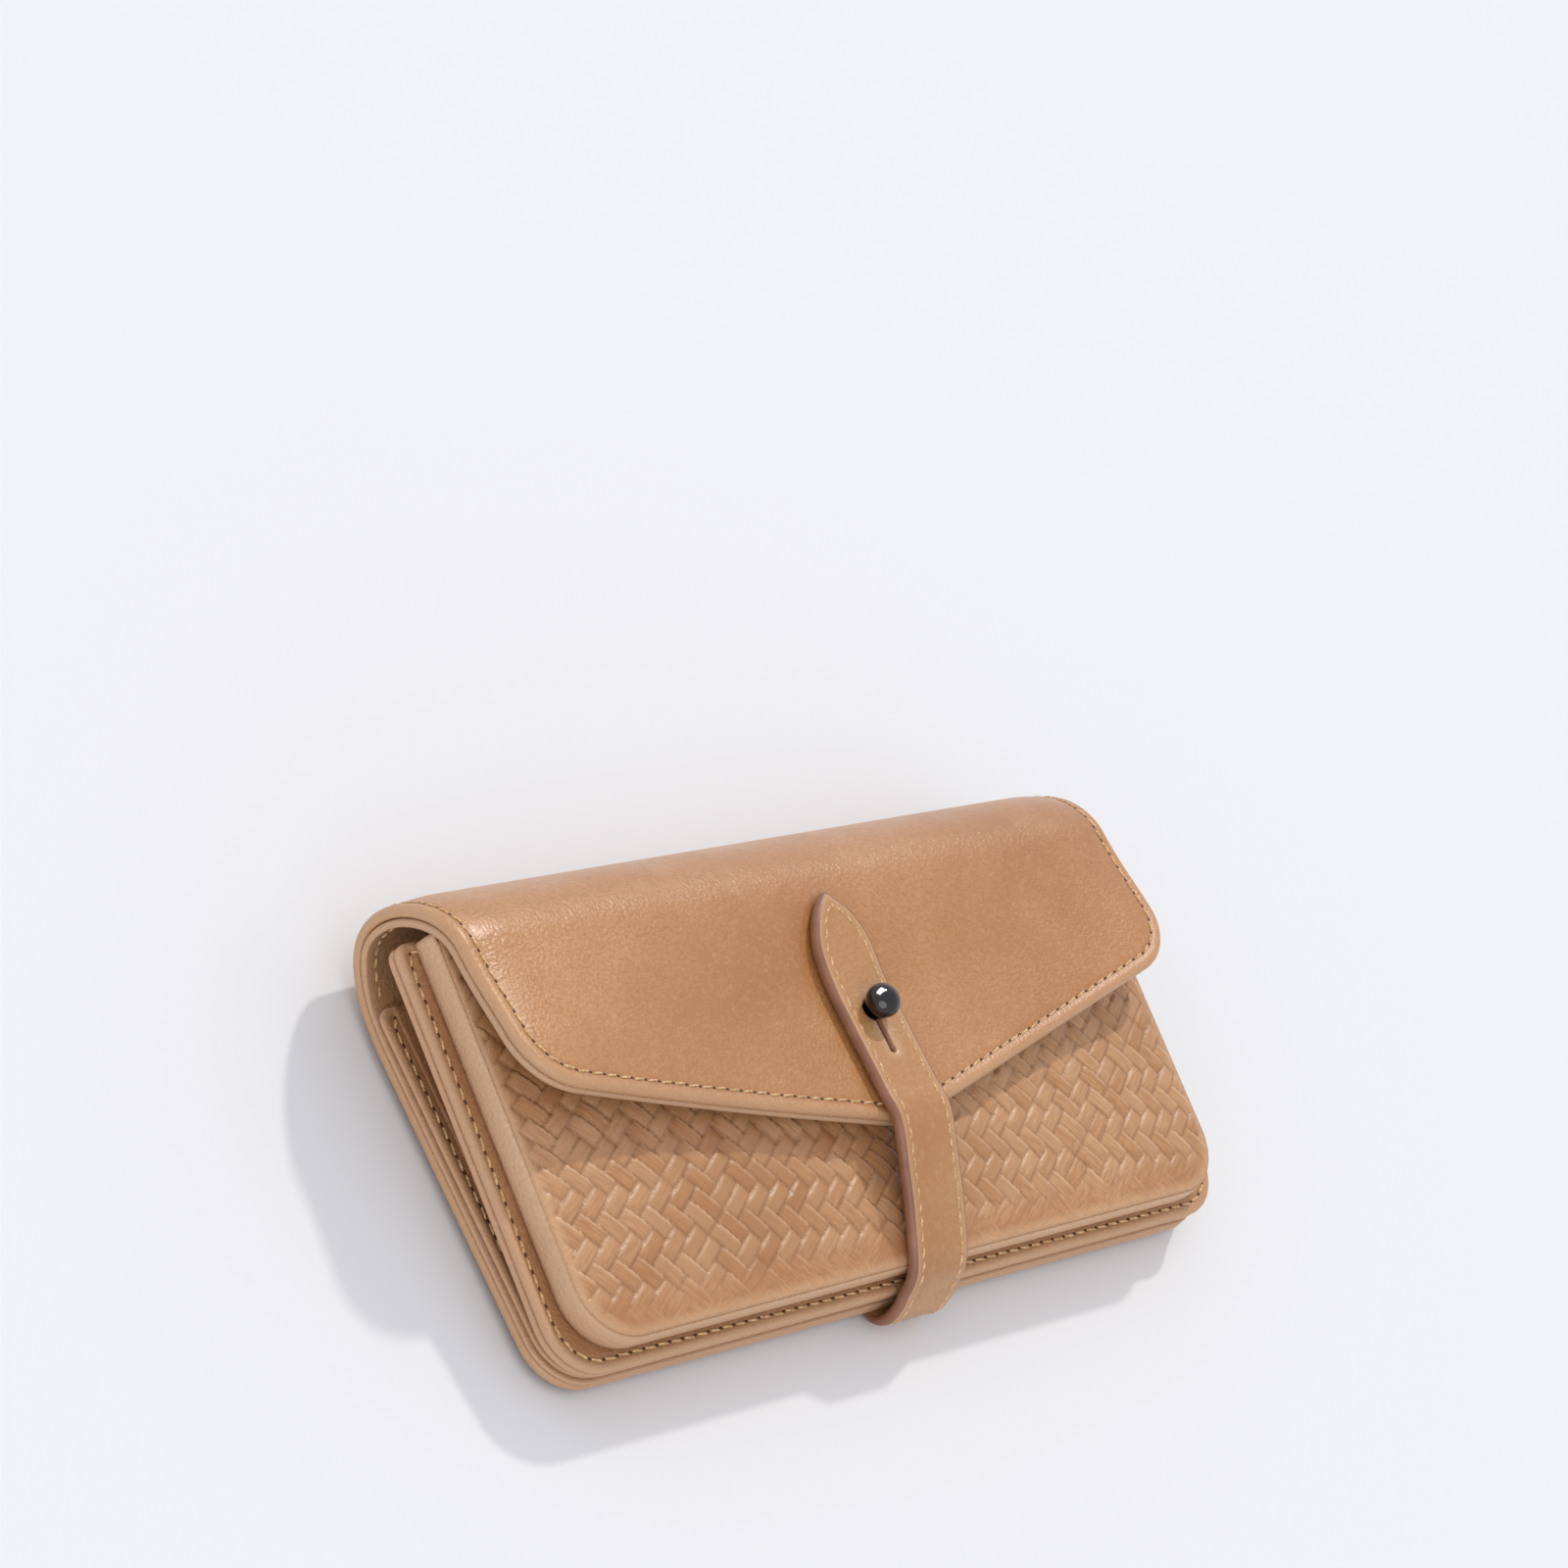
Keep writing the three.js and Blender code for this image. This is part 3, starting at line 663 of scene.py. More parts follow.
def woven_leather(name, base, dark, light):
    """The front's strips: streaks along each strip, painted shade in the grooves, and painted highlights
    along the strips' upper edges mixed with each strip's own tone.
    """
    n = Nodes(name)
    at = n.coordinates()
    cloud = n.noise(at, 26, detail=5, roughness=0.6, distortion=0.5)
    colour = n.mix(n.grey_ramp(cloud, 0.36, 0.68), dark, base)
    rising = n.noise(n.coordinates((7.0, 1.0, 1.0), WEAVE_RISE), 1400, detail=3, roughness=0.7)
    falling = n.noise(n.coordinates((7.0, 1.0, 1.0), -WEAVE_FALL), 1400, detail=3, roughness=0.7)
    streaks = n.mix(n.attribute("rising"), falling, rising)
    colour = n.mix(n.grey_ramp(streaks, 0.4, 0.6, 0.0, 0.85), colour, dark)
    # painted highlight along the strips' upper edges, mixed with each strip's own random tone
    colour = n.mix(n.math("MULTIPLY", n.attribute("strip_tone_and_painted_highlight"), 0.6), colour, light)
    # painted shade: darkens the grooves along each strip's low side and where strips tuck under
    colour = n.mix(n.math("MULTIPLY", n.attribute("crevice_shade"), 0.62), colour, (0.16, 0.062, 0.02))
    colour = n.mix(n.math("MULTIPLY", n.attribute("rim"), 0.6), colour, light)
    rough = n.grey_ramp(n.noise(at, 120, detail=4), 0.3, 0.75, 0.36, 0.54)
    normal = n.bump(n.noise(at, 2100), 0.00008, 0.5, n.bump(streaks, 0.00028, 0.7))
    return n.look(colour, rough, normal, coat_weight=0.2, coat_roughness=0.3)


def suede(name, base, dark):
    n = Nodes(name)
    at = n.coordinates()
    colour = n.mix(n.grey_ramp(n.noise(at, 60, detail=5), 0.35, 0.7), dark, base)
    colour = n.mix(n.grey_ramp(n.noise(at, 2200, detail=3), 0.35, 0.7, 0.0, 0.5), colour, dark)
    rough = n.grey_ramp(n.noise(at, 300), 0.3, 0.7, 0.7, 0.9)
    return n.look(colour, rough, n.bump(n.noise(at, 1800, detail=4), 0.00012, 0.6), sheen_weight=0.25)


def burnished_edge(name, base, dark):
    """A strap edge that is painted and rubbed smooth."""
    n = Nodes(name)
    at = n.coordinates()
    colour = n.mix(n.grey_ramp(n.noise(at, 160, detail=4), 0.35, 0.7), dark, base)
    rough = n.grey_ramp(n.noise(at, 400), 0.3, 0.7, 0.34, 0.48)
    return n.look(colour, rough, n.bump(n.noise(at, 900), 0.00008, 0.5))


def thread(name):
    n = Nodes(name)
    at = n.coordinates()
    twist = n.noise(at, 1900, detail=2)
    colour = n.mix(n.grey_ramp(twist, 0.35, 0.65), (0.40, 0.21, 0.075), (0.74, 0.5, 0.25))
    rough = n.grey_ramp(n.noise(at, 700), 0.3, 0.7, 0.45, 0.65)
    return n.look(colour, rough, n.bump(twist, 0.00015, 0.8), sheen_weight=0.2)


# painted shade: a near-black brown for the shadowed inside of each needle hole
def needle_hole_shade(name):
    n = Nodes(name)
    colour = n.mix(n.noise(n.coordinates(), 900), (0.06, 0.028, 0.011), (0.13, 0.062, 0.026))
    return n.look(colour, 0.85)


def gunmetal(name):
    n = Nodes(name)
    at = n.coordinates()
    colour = n.mix(n.noise(at, 500), (0.035, 0.033, 0.034), (0.06, 0.057, 0.058))
    rough = n.grey_ramp(n.noise(at, 900), 0.3, 0.7, 0.06, 0.14)
    normal = n.bump(n.noise(at, 1200), 0.00002, 0.3)
    return n.look(colour, rough, normal, metallic=1.0, coat_weight=0.35, coat_roughness=0.03)


def board(name):
    n = Nodes(name)
    at = n.coordinates()
    colour = n.mix(n.noise(at, 400, detail=4), (0.24, 0.2, 0.16), (0.34, 0.3, 0.24))
    return n.look(colour, 0.9, n.bump(n.noise(at, 1500), 0.0001, 0.4))


FLAP_LEATHER = leather("flap_leather", (0.465, 0.222, 0.08), (0.35, 0.142, 0.042), (0.55, 0.31, 0.155),
                       (0.52, 0.31, 0.17), gloss=0.37, grain=0.9, coat=0.36, blotches=0.8)
BODY_LEATHER = leather("body_leather", (0.39, 0.195, 0.087), (0.30, 0.135, 0.053), (0.48, 0.26, 0.13),
                       (0.56, 0.34, 0.2), gloss=0.42)
PALE_LEATHER = leather("pale_leather", (0.60, 0.38, 0.235), (0.52, 0.31, 0.175), (0.65, 0.44, 0.29),
                       (0.62, 0.4, 0.25), gloss=0.5)
LINING_LEATHER = leather("lining_leather", (0.40, 0.215, 0.105), (0.31, 0.155, 0.07), (0.48, 0.28, 0.15),
                         (0.54, 0.34, 0.21), gloss=0.5)
STRAP_LEATHER = leather("strap_leather", (0.465, 0.238, 0.097), (0.37, 0.168, 0.058), (0.55, 0.32, 0.165),
                        (0.52, 0.315, 0.18), gloss=0.38, grain=0.7, coat=0.2)
WEAVE_LEATHER = woven_leather("weave_leather", (0.48, 0.248, 0.104), (0.34, 0.145, 0.05), (0.64, 0.4, 0.235))
LINING_SUEDE = suede("lining_suede", (0.36, 0.19, 0.09), (0.26, 0.13, 0.06))
EDGE_PAINT = burnished_edge("edge_paint", (0.285, 0.125, 0.07), (0.2, 0.085, 0.045))
THREAD = thread("golden_thread")
# painted shade inside the needle holes
HOLE_SHADE = needle_hole_shade("needle_hole_shade")
METAL = gunmetal("dark_metal")
BOARD = board("grey_board")


# --- Outlines -------------------------------------------------------------------------------------


def rectangle(width, bottom, top, bottom_radius, top_radius, step=1.2):
    half = width / 2
    corners = [(-half, bottom), (half, bottom), (half, top), (-half, top)]
    return fillet(corners, [bottom_radius, bottom_radius, top_radius, top_radius], step)


def shell_outline(inset=0.0):
    """The flat cut of the back, fold and flap in one: the fold's length tapers from the back to the flap."""
    back_half = LENGTH / 2 - inset
    flap_half = FLAP_HALF - inset
    tip = flap_s(FLAP_TIP_Y + inset)
    corner = flap_s(FLAP_CORNER_Y + inset)
    corners = [
        (-back_half, inset), (back_half, inset),
        (back_half, TAPER_S[0]), (TAPER_HALF[1] - inset, TAPER_S[1]),
        (flap_half, corner), (0, tip), (-flap_half, corner),
        (inset - TAPER_HALF[1], TAPER_S[1]), (-back_half, TAPER_S[0]),
    ]
    radius = BOTTOM_RADIUS - inset
    flap_radius = FLAP_RADIUS - inset
    return fillet(corners, [radius, radius, 60, 60, flap_radius, 9, flap_radius, 60, 60])


# --- Shell: back, fold and flap -------------------------------------------------------------------

BLEND_FROM = tuple(place([0, FOLD_START_Y, 6.6]))
BLEND_TO = tuple(place([0, FOLD_START_Y, 25.4]))


def bend_with_flap(piece):
    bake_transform(piece)


SHELL = shell_outline()
outer = leather_panel("shell_leather", SHELL, shell, OUTER_T, [FLAP_LEATHER], seam_at=SHELL_SEAM)
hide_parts("back_outer_leather", "fold_outer_leather", "flap_outer_leather")
bend_with_flap(outer)


def lining_thickness(s):
    """Thin on the back, where the pocket panel covers it, and thicker along the flap."""
    return LINING_T + LINING_FLAP_EXTRA * smoothstep(s, FOLD_START_Y, FOLD_START_Y + 12)


def lining_surface(x, s, depth):
    return shell(x, s, LINING_DEPTH + depth * lining_thickness(s))


def lining_inside(x, s, depth):
    """The lining's other face, which the stitches inside the flap are on."""
    return shell(x, s, LINING_DEPTH + lining_thickness(s) - depth)


lining_cut = shell_outline(0.1)
lining = leather_panel("shell_lining", lining_cut, lining_surface, LINING_T, [LINING_LEATHER])
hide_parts("back_lining", "fold_lining", "flap_lining")
bend_with_flap(lining)

shell_seam = seam("shell_seam", offset_path(SHELL, SHELL_SEAM), shell, radius=0.26, hole_size=0.7,
                  closed=True)
bend_with_flap(shell_seam)

inside_line = offset_path(lining_cut, SHELL_SEAM)
inner_path = longest_run(inside_line, inside_line[:, 1] > FOLD_START_Y + 4)
inner_seam = seam("lining_seam", inner_path, lining_inside)
bend_with_flap(inner_seam)


# --- Back pocket, gussets and the middle panel ----------------------------------------------------

POCKET_FACE_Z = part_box("back_pocket_panel")[1][2] / MM
pocket_outline = rectangle(LENGTH - 2, 1, POCKET_TOP, BOTTOM_RADIUS - 1, 3)
pocket_face = flat_surface(POCKET_FACE_Z)
pocket = leather_panel("pocket_panel", pocket_outline, pocket_face, POCKET_T, [BODY_LEATHER], POCKET_SEAM)
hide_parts("back_pocket_panel")
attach(pocket, "base")
pocket_seam = seam("pocket_seam", offset_path(pocket_outline, POCKET_SEAM), pocket_face, closed=True)
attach(pocket_seam, "base")

GUSSET_GAP = 0.12  # between the gusset's middle layer and the panels
GUSSET_FLANGE = 4.2  # how far the glued sides reach in
GUSSET_SIDE = 4.8  # from the wallet's side to the gusset
GUSSET_HALF_T = 0.2
GUSSET_STATIONS = (0, 0.55, 1)  # the middle of the V, the start of a flange and its edge


def gusset(name, node, side):
    """A soft V of leather between the pocket panel and the middle panel, open to the side."""
    low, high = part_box(node)
    bottom = low[1] / MM - EDGE_Y - 5
    top = high[1] / MM - EDGE_Y + 0.5
    rows = 40
    rear = POCKET_FACE_Z + GUSSET_GAP
    sheet = []
    for i in range(rows + 1):
        y = bottom + (top - bottom) * i / rows
        front = FRONT_Z + y * math.tan(WEDGE) - GUSSET_GAP
        width = front - rear
        reach = GUSSET_FLANGE + 2.1 * width / 2
        line = []
        for t in np.linspace(0, 1, 25):
            a = abs(2 * t - 1)
            x = LENGTH / 2 - GUSSET_SIDE - np.interp(a, GUSSET_STATIONS, (reach, GUSSET_FLANGE, 0))
            bow = np.interp(a, GUSSET_STATIONS, (0, 1, 1)) * math.copysign(1, t - 0.5)
            z = (rear + front) / 2 + bow * (width / 2)
            line.append((side * x, y, z))
        sheet.append(line)
    sheet = np.array(sheet)
    for _ in range(3):
        sheet[:, 2:-2] = (sheet[:, 1:-3] + 2 * sheet[:, 2:-2] + sheet[:, 3:-1]) / 4
    tangent = np.gradient(sheet, axis=1)
    normal = np.cross(tangent, np.array([0, 1.0, 0]))
    normal /= np.maximum(np.linalg.norm(normal, axis=2, keepdims=True), 1e-6)
    return grid_solid(name, sheet + normal * GUSSET_HALF_T, sheet - normal * GUSSET_HALF_T, [BODY_LEATHER])


def grid_solid(name, first, second, materials):
    """A closed solid between two grids of points."""
    rows, columns = first.shape[:2]
    count = rows * columns
    points = np.vstack([first.reshape(-1, 3), second.reshape(-1, 3)])
    faces = []
    for i in range(rows - 1):
        for j in range(columns - 1):
            a = i * columns + j
            quad = (a, a + 1, a + columns + 1, a + columns)
            faces.append(quad)
            faces.append(tuple(count + k for k in reversed(quad)))
    rim = [(0, j) for j in range(columns)] + [(i, columns - 1) for i in range(1, rows)]
    rim += [(rows - 1, j) for j in range(columns - 2, -1, -1)] + [(i, 0) for i in range(rows - 2, 0, -1)]
    ids = [i * columns + j for i, j in rim]
    for a, b in zip(ids, ids[1:] + ids[:1]):
        faces.append((b, a, count + a, count + b))
    made = make_object(name, points, faces, materials)
    fix_normals(made)
    return made


def fix_normals(piece):
    work = bmesh.new()
    work.from_mesh(piece.data)
    bmesh.ops.recalc_face_normals(work, faces=work.faces)
    work.to_mesh(piece.data)
    work.free()


for side, label in ((-1, "left"), (1, "right")):
    node = "gusset_" + label
    piece = gusset("soft_" + node, node, side)
    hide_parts(node)
    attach(piece, "base")

middle_outline = rectangle(LENGTH, 0.4, MIDDLE_TOP, BOTTOM_RADIUS, 3)
middle_face = front_surface(MIDDLE_FACE_HEIGHT)
rear_layer = leather_panel("middle_rear", middle_outline, front_surface(MIDDLE_REAR_T), MIDDLE_REAR_T,
                           [BODY_LEATHER])
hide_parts("middle_panel_rear")
front_layer = leather_panel("middle_front", middle_outline, middle_face, MIDDLE_FRONT_T, [BODY_LEATHER],
                            MIDDLE_SEAM)
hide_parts("middle_panel_front")
middle_seam = seam("middle_seam", offset_path(middle_outline, MIDDLE_SEAM), middle_face, closed=True)
for piece in (rear_layer, front_layer, middle_seam):
    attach(piece, "base")


# --- Front pocket: side band and woven face -------------------------------------------------------


def u_path(half, bottom, top, radius):
    """Down the left side, along the bottom and up the right side."""
    corners = [(-half, top), (-half, bottom), (half, bottom), (half, top)]
    outline = fillet(corners, [0, radius, radius, 0], 1.0)
    start = np.argmin(np.hypot(outline[:, 0] + half, outline[:, 1] - top))
    outline = np.roll(outline, -start, axis=0)
    end = np.argmin(np.hypot(outline[:, 0] - half, outline[:, 1] - top))
    return outline[: end + 1]


def swept_band(name, path, section, surface, materials):
    """A closed band along an open path: section holds (offset outwards, height) pairs."""
    tangent = np.gradient(path, axis=0)
    tangent /= np.linalg.norm(tangent, axis=1, keepdims=True)
    outward = np.stack([tangent[:, 1], -tangent[:, 0]], axis=1)
    rows = []
    for offset, height in section:
        at = path + outward * offset
        rows.append(surface(at[:, 0], at[:, 1], np.full(len(at), -height)))
    points = np.stack(rows, axis=1).reshape(-1, 3)
    made = make_object(name, points, tube_faces(len(path), len(section)), materials)
    fix_normals(made)
    return made


# The side bulges a little and its rolled edge stops just under the woven face.
band_section = [(-1.5, 4.0), (-0.4, 3.86), (0.0, 4.15), (0.22, 5.2), (0.28, 6.4), (0.24, 7.6), (0.1, 8.8),
                (-0.12, 9.55), (-0.5, 9.75), (-1.5, 8.9)]
band_path = u_path(BAND_HALF, BAND_BOTTOM, BAND_TOP, BAND_RADIUS)
band = swept_band("side_band", band_path, band_section, front_surface(0.0), [PALE_LEATHER])
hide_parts("front_side_band")
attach(band, "base")

FACE_T = 1.9
FACE_HEIGHT = 9.05 + FACE_T  # the face's outer side, from the middle panel's rear face
CROWN = 3.1
FACE_BOTTOM = BAND_BOTTOM + 0.2
face_outline = rectangle(2 * BAND_HALF - 0.5, FACE_BOTTOM, BAND_TOP + 0.5, BAND_RADIUS, 4, 0.5)


def fold_back(index, period):
    """Counts up and back down, so that the twill turns round and makes diamonds."""
    place_in = np.mod(index, 2 * period)
    rising = place_in < period
    return np.where(rising, place_in, 2 * period - 1 - place_in), rising


def weave(x, y):
    """Two crossing sets of flat strips, a and b: height, the grooves' painted shade, lightness (each strip's
    own tone with a painted highlight along its upper edge) and where a lies on top.
    """
    across_a = (-x * math.sin(WEAVE_RISE) + y * math.cos(WEAVE_RISE)) / WEAVE_WIDTH + WEAVE_SHIFT_RISE
    across_b = (x * math.sin(WEAVE_FALL) + y * math.cos(WEAVE_FALL)) / WEAVE_WIDTH + WEAVE_SHIFT_FALL
    a, b = np.floor(across_a), np.floor(across_b)
    in_a, in_b = across_a - a, across_b - b
    turn_a, up_a = fold_back(a, DIAMOND_RISE)
    turn_b, up_b = fold_back(b, DIAMOND_FALL)
    step = np.mod(turn_a + turn_b, 4)
    a_over = step < 2
    # From -1 to 1 across the strip on top, and along the part of it that shows.
    along_a = np.where(up_b, in_b, 1 - in_b) + step
    along_b = np.where(up_a, in_a, 1 - in_a) + step - 2
    width = np.where(a_over, in_a, in_b) * 2 - 1
    length = np.clip(np.where(a_over, along_a, along_b), 0, 2) - 1
    to_side = (1 - np.abs(width)) * WEAVE_WIDTH / 2
    to_end = (1 - np.abs(length)) * WEAVE_WIDTH
    sides = 1 - np.exp(-((to_side / 0.24) ** 2))
    arch = 1 - np.abs(length) ** 3.6
    tilt = np.where(a_over, 0.12, 0.24)
    height = 0.14 * sides + 0.46 * arch * (1 - 0.1 * width**2) + tilt * width
    low_side = (1 + width) * WEAVE_WIDTH / 2
    high_side = (1 - width) * WEAVE_WIDTH / 2
    # painted shade along each strip's low side, beside the raised edge of the strip below, and at its ends
    # where it tucks under
    crevice_shade = np.exp(-((low_side / 0.3) ** 2)) * (0.4 + 0.6 * arch) + 0.6 * np.exp(-((to_end / 0.35) ** 2))
    # painted highlight along each strip's upper edge, which faces the light from above
    painted_lip_highlight = np.exp(-(((high_side - 0.35) / 0.4) ** 2)) * arch
    dye = np.where(a_over, np.sin(a * 12.9 + 3.1) * 43.7, np.sin(b * 7.7 + 1.3) * 57.3)  # each strip's own
    # each strip's own random tone plus the painted highlight, stronger on the strips that fall to the right
    light = 0.4 * np.mod(dye, 1) + np.where(a_over, 0.35, 0.9) * painted_lip_highlight
    return height, np.clip(crevice_shade, 0, 1), light, a_over


def face_fade(y, distance):
    """The weave is pressed flat along the border, most of all at the bottom."""
    return smoothstep(distance, 0.5, 2.0) * (0.12 + 0.88 * smoothstep(y - FACE_BOTTOM, 3.0, 9.0))


def face_relief(x, y, distance):
    """The padded crown, the edge that rolls in and the strips."""
    middle = (FACE_BOTTOM + BAND_TOP) / 2
    half_height = (BAND_TOP - FACE_BOTTOM) / 2
    along = 1 - np.abs(x / BAND_HALF) ** 4
    up = 1 - np.minimum(np.abs((y - middle) / half_height), 1) ** 3
    pillow = CROWN * np.maximum(along, 0) * np.maximum(up, 0) - 0.35
    rolled = 0.5 * np.clip(1 - distance / 5, 0, 1) ** 2
    return pillow - rolled + (weave(x, y)[0] - 0.5) * face_fade(y, distance)


fine = 0.42
face = leather_panel("woven_face", face_outline, front_surface(FACE_HEIGHT), FACE_T, [WEAVE_LEATHER],
                     spacing=(fine, fine), relief=face_relief, rings=WOVEN_RINGS)
coords = np.empty(len(face.data.vertices) * 3)
face.data.vertices.foreach_get("co", coords)
coords = coords.reshape(-1, 3) / MM
face_x = coords[:, 0]
face_y = (coords[:, 1] - EDGE_Y + FACE_HEIGHT * math.sin(WEDGE)) / math.cos(WEDGE)
fade = face_fade(face_y, distance_to(np.stack([face_x, face_y], axis=1), face_outline))
# the grooves' painted shade and the strips' painted highlights go into the weave's colour as attributes
_, crevice_shade, light, rising = weave(face_x, face_y)
set_attribute(face, "crevice_shade", crevice_shade * fade)
set_attribute(face, "strip_tone_and_painted_highlight", light * fade)
set_attribute(face, "rising", rising)
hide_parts("front_woven_face")
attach(face, "base")


# --- Strap ----------------------------------------------------------------------------------------


def strap_profile():
    """The strap's outer face in YZ: up the back's sewn end, under the bottom edge and up the front."""
    back = [(y, 0.25) for y in np.linspace(34, 3.2, 16)]
    bend = [(-0.6, 0.6), (-3.2, 2.6), (-4.3, 6.0), (-3.8, 9.6)]
    front = [(-2.6, BACK_Z + 10.6), (0.5, BACK_Z + 16.4), (9.6, BACK_Z + 22.4), (18.5, BACK_Z + 27.1)]
    arm = []
    for y in np.linspace(FLAP_TIP_Y, 76, 8):
        arm.append((y, FLAP_Z + float(flap_offset(STRAP_HALF, y)) + 0.4 + STRAP_T))
    return spline(back + bend + front + arm)


def spline(points):
    """A Catmull-Rom curve through points, evenly spaced."""
    points = np.asarray(points, float)
    padded = np.vstack([2 * points[0] - points[1], points, 2 * points[-1] - points[-2]])
    curve = []
    for i in range(1, len(padded) - 2):
        p0, p1, p2, p3 = padded[i - 1 : i + 3]
        for t in np.linspace(0, 1, 8, endpoint=False):
            curve.append(0.5 * (2 * p1 + (p2 - p0) * t + (2 * p0 - 5 * p1 + 4 * p2 - p3) * t**2
                                + (3 * p1 - p0 - 3 * p2 + p3) * t**3))
    curve.append(points[-1])
    return even_spacing(np.array(curve), 0.8)


STRAP_LINE = strap_profile()
STRAP_LENGTH = lengths_along(STRAP_LINE)
STRAP_TANGENT = unit_tangents(STRAP_LINE, smoothing=2)
STRAP_END = STRAP_LENGTH[-1] - 0.6

def strap_s(y):
    """Where the arm passes this height on the front."""
    upper = len(STRAP_LINE) // 2
    return float(np.interp(y, STRAP_LINE[upper:, 0], STRAP_LENGTH[upper:]))


def strap_surface(x, s, depth):
    """One layer on the back, where it is sewn, and the full thickness from the bend on."""
    y, z, ty, tz = along_line(s, STRAP_LENGTH, STRAP_LINE, STRAP_TANGENT)
    full = SEWN_T / STRAP_T + (1 - SEWN_T / STRAP_T) * smoothstep(s, 33, 44)
    return np.stack([x, y + tz * depth * full, z - ty * depth * full], axis=1)


def strap_outline():
    """Square at the sewn end and pointed, with curved shoulders, at the tip."""
    half = STRAP_HALF
    shoulder = STRAP_END - 15
    right = []
    for t in np.linspace(0, 1, 12):
        x = half * (1 - t) ** 2 + 2 * half * 1.02 * t * (1 - t) + 0.6 * t**2
        s = shoulder * (1 - t) ** 2 + 2 * (STRAP_END - 6.0) * t * (1 - t) + STRAP_END * t**2
        right.append((x, s))
    left = [(-x, s) for x, s in reversed(right)]
    low = [(-half, 1.5), (-half + 1.5, 0), (half - 1.5, 0), (half, 1.5)]
    return even_spacing(np.array(low + right + left), 0.9, closed=True)


def keyhole():
    """The buttonhole round the stud's neck, with a slit and a small punch under it."""
    centre = strap_s(STUD_Y)
    slit_end = strap_s(STUD_Y - KEYHOLE_LENGTH)
    points = []
    for angle in np.linspace(-math.pi / 2 + 0.1, 1.5 * math.pi - 0.1, 18):
        points.append((KEYHOLE_RADIUS * math.cos(angle), centre + KEYHOLE_RADIUS * math.sin(angle)))
    for angle in np.linspace(math.pi / 2 + 0.5, 2.5 * math.pi - 0.5, 8):
        points.append((SLIT_RADIUS * math.cos(angle), slit_end + SLIT_RADIUS * math.sin(angle)))
    return even_spacing(np.array(points), 0.35, closed=True)


STRAP_CUT = strap_outline()
strap = leather_panel("strap_leather", STRAP_CUT, strap_surface, STRAP_T, [STRAP_LEATHER, EDGE_PAINT],
                      spacing=(1.6, 1.1), holes=[keyhole()])
STRAP_BLEND = {"start": tuple(place([0, 0, 1.75])), "end": tuple(place([0, 0, 11.2]))}
PAINTED_RIM = 0.54
rims = [entry.value for entry in strap.data.attributes["rim"].data]
for polygon in strap.data.polygons:
    if min(rims[i] for i in polygon.vertices) > PAINTED_RIM:
        polygon.material_index = 1
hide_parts("strap_outer", "strap_lining", "strap_bend", "strap_sewn_end")
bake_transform(strap)
strap_seam = seam("strap_seam", offset_path(STRAP_CUT, STRAP_SEAM), strap_surface, closed=True, pitch=2.9,
                  radius=0.26)
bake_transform(strap_seam)


# --- Stud -----------------------------------------------------------------------------------------


def lathe(name, profile, centre, materials, sides=48):
    """A solid of revolution about Z: profile holds (radius, height) pairs from the bottom up."""
    x, y, z = centre
    points = []
    for radius, height in profile:
        for j in range(sides):
            angle = 2 * math.pi * j / sides
            points.append((x + radius * math.cos(angle), y + radius * math.sin(angle), z + height))
    return make_object(name, points, tube_faces(len(profile), sides), materials)


stud_low, stud_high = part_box("stud_head")
stud_base = stud_low[2] / MM
stud_height = (stud_high[2] - stud_low[2]) / MM
ball_radius = (stud_high[0] - stud_low[0]) / 2 / MM
ball_half = ball_radius * 0.85  # the ball is a little flat
ball_middle = stud_height - ball_half
stud_profile = [(3.2, 0), (3.25, 0.2), (3.1, 0.45), (2.3, 0.62), (1.8, 0.9)]  # the foot and the neck
start = math.asin(1.75 / ball_radius)
for share in np.linspace(0, 1, 28):
    angle = start + (math.pi - start - 0.02) * share
    stud_profile.append((ball_radius * math.sin(angle), ball_middle - ball_half * math.cos(angle)))
stud = lathe("ball_stud", stud_profile, (0, STUD_Y, stud_base), [METAL])
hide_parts("stud_head")
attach(stud, "flap")


# --- Pieces that keep their solids ----------------------------------------------------------------

KEPT = {
    "card_slot_1": BODY_LEATHER,
    "card_slot_2": BODY_LEATHER,
    "front_lining": LINING_SUEDE,
    "front_board": BOARD,
    "stud_screw": METAL,
}
for node, material in KEPT.items():
    solid = bpy.data.objects[node]
    solid.data.materials.clear()
    solid.data.materials.append(material)


# --- Stage: floor, light and camera ---------------------------------------------------------------


def floor_material():
    n = Nodes("pale_floor")
    return n.look(n.mix(n.noise(n.coordinates(), 3), (0.925, 0.93, 0.945), (0.94, 0.945, 0.955)), 0.8)


bpy.ops.mesh.primitive_plane_add(size=30, location=(0, 0, cad_box[0][2]))
floor = bpy.context.object
floor.name = "floor"
floor.data.materials.append(floor_material())

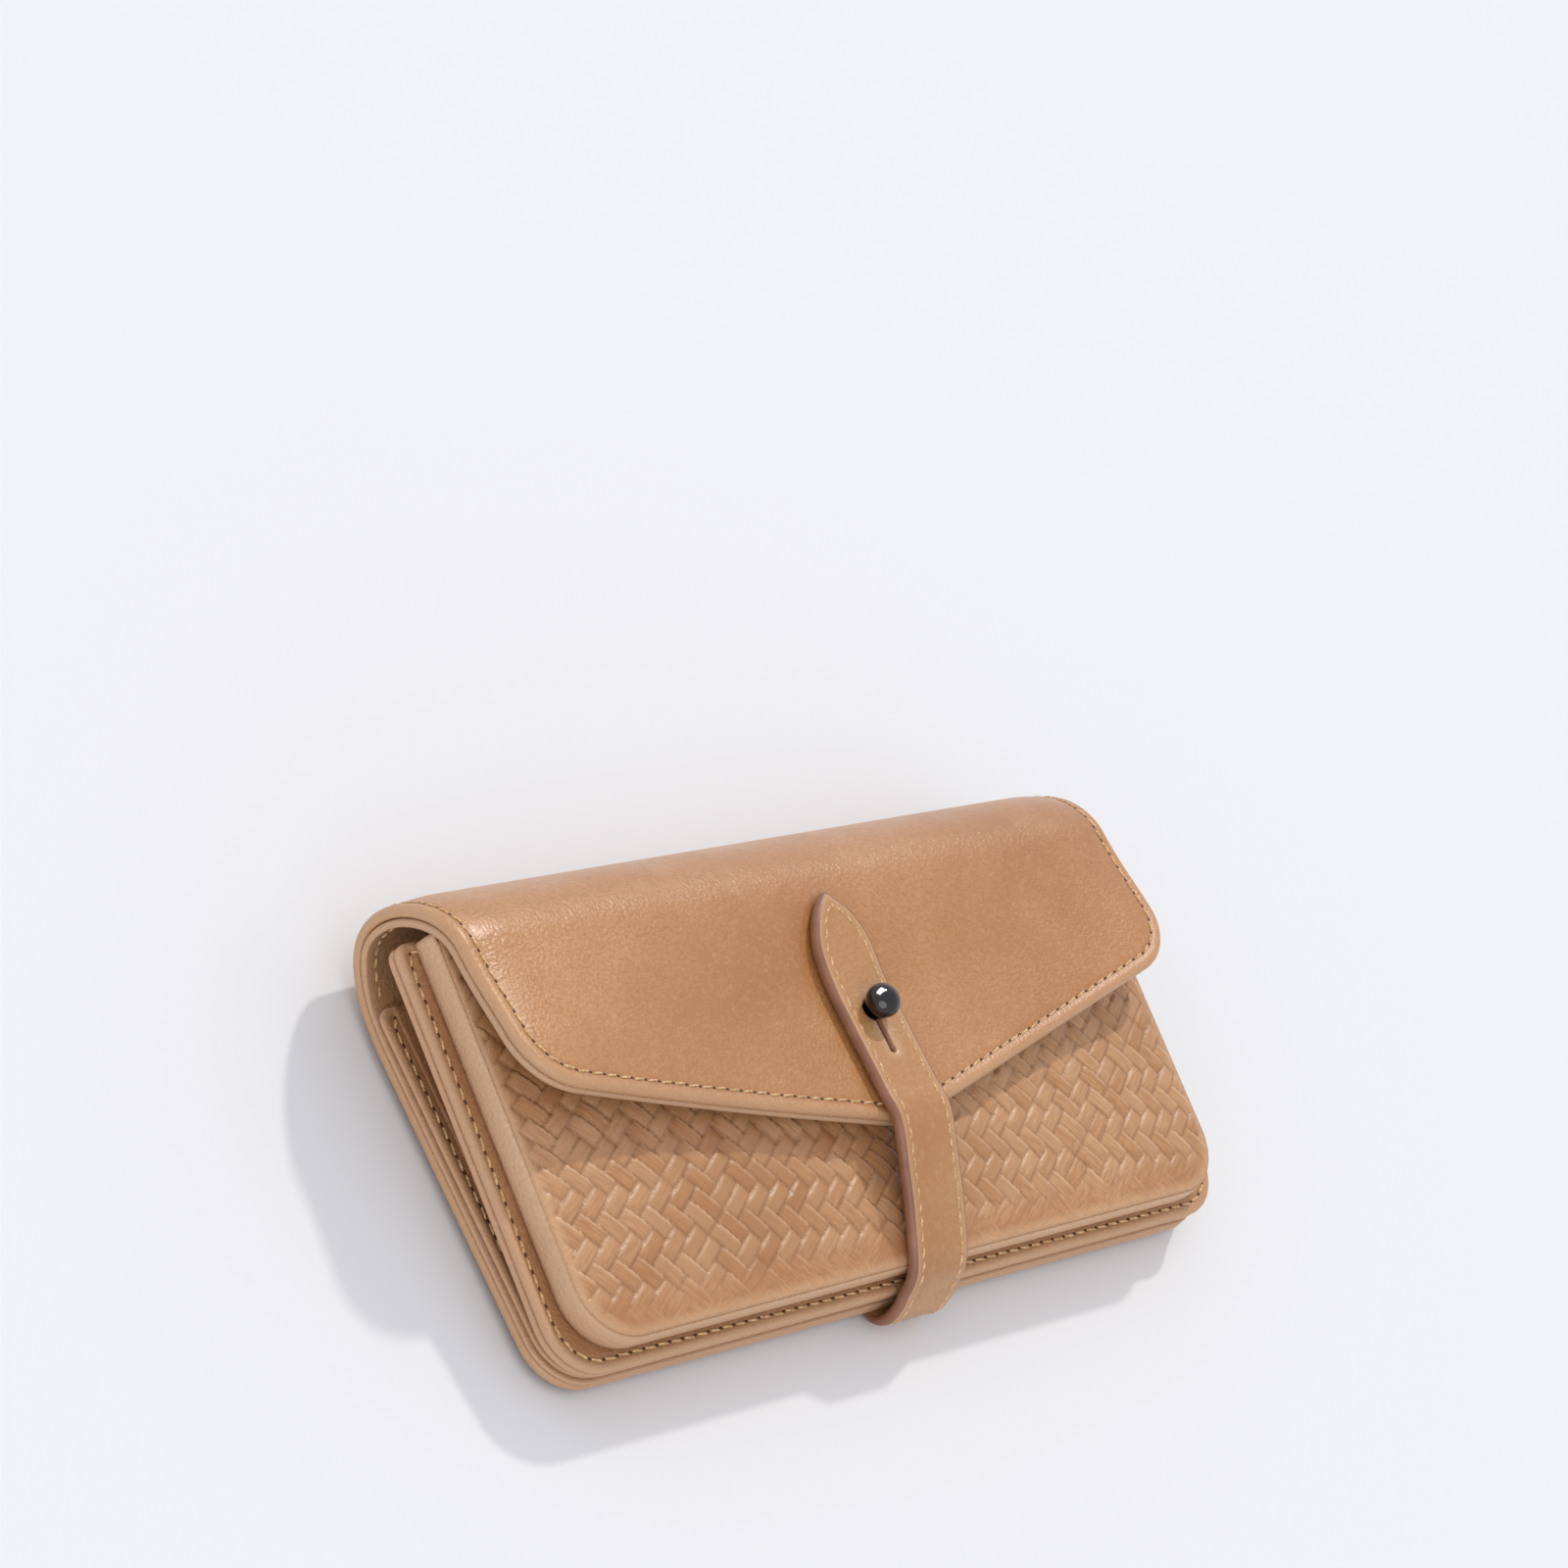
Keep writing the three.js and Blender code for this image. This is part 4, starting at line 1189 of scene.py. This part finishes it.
world = bpy.data.worlds.new("studio")
bpy.context.scene.world = world
world.use_nodes = True
sky = world.node_tree.nodes["Background"]
sky.inputs["Color"].default_value = (0.95, 0.96, 1.0, 1)
sky.inputs["Strength"].default_value = 0.79


def add_lamp(data, towards, location=(0, 0, 0), only_on=None, not_on=None):
    """Puts a light in the scene; it can be limited to one object, or to everything but one object."""
    lamp = bpy.data.objects.new(data.name, data)
    lamp.location = location
    lamp.rotation_euler = Vector(towards).to_track_quat("-Z", "Y").to_euler()
    bpy.context.scene.collection.objects.link(lamp)
    receivers = bpy.data.collections.new(data.name + "_receivers")
    receivers.objects.link(only_on or not_on)
    lamp.light_linking.receiver_collection = receivers
    if not_on:
        receivers.collection_objects[0].light_linking.link_state = "EXCLUDE"


def sun(name, towards, strength, degrees, colour, **limits):
    data = bpy.data.lights.new(name, "SUN")
    data.energy = strength
    data.angle = math.radians(degrees)
    data.color = colour
    add_lamp(data, towards, **limits)


def softbox(name, location, size, watts, **limits):
    """A rectangular light that faces the object's middle."""
    data = bpy.data.lights.new(name, "AREA")
    data.shape = "RECTANGLE"
    data.size, data.size_y = size
    data.energy = watts
    add_lamp(data, -Vector(location), location, **limits)


# The first sun and the fill shape the leather; the floor has a sun of its own for its shadow.
sun("key", (-0.38, -0.58, -0.72), strength=1.62, degrees=2.5, colour=(1.0, 0.975, 0.93), not_on=floor)
sun("fill", (0.62, 0.55, -0.56), strength=0.98, degrees=50, colour=(1.0, 0.98, 0.96), not_on=floor)
sun("floor_key", (-0.62, -0.5, -0.6), strength=1.02, degrees=3, colour=(1.0, 0.975, 0.93), only_on=floor)
softbox("softbox", (-0.05, 0.36, 0.38), size=(0.45, 0.25), watts=7, only_on=stud)

camera_data = bpy.data.cameras.new("camera")
camera_data.lens = 111.03
camera_data.sensor_width = 36
camera = bpy.data.objects.new("camera", camera_data)
camera.location = (-0.68025, -0.18477 + EDGE_Y * MM, 0.64506)
camera.rotation_euler = (0.68337, -0.61072, -0.56319)
bpy.context.scene.collection.objects.link(camera)
bpy.context.scene.camera = camera
bpy.context.scene.view_settings.view_transform = "Standard"
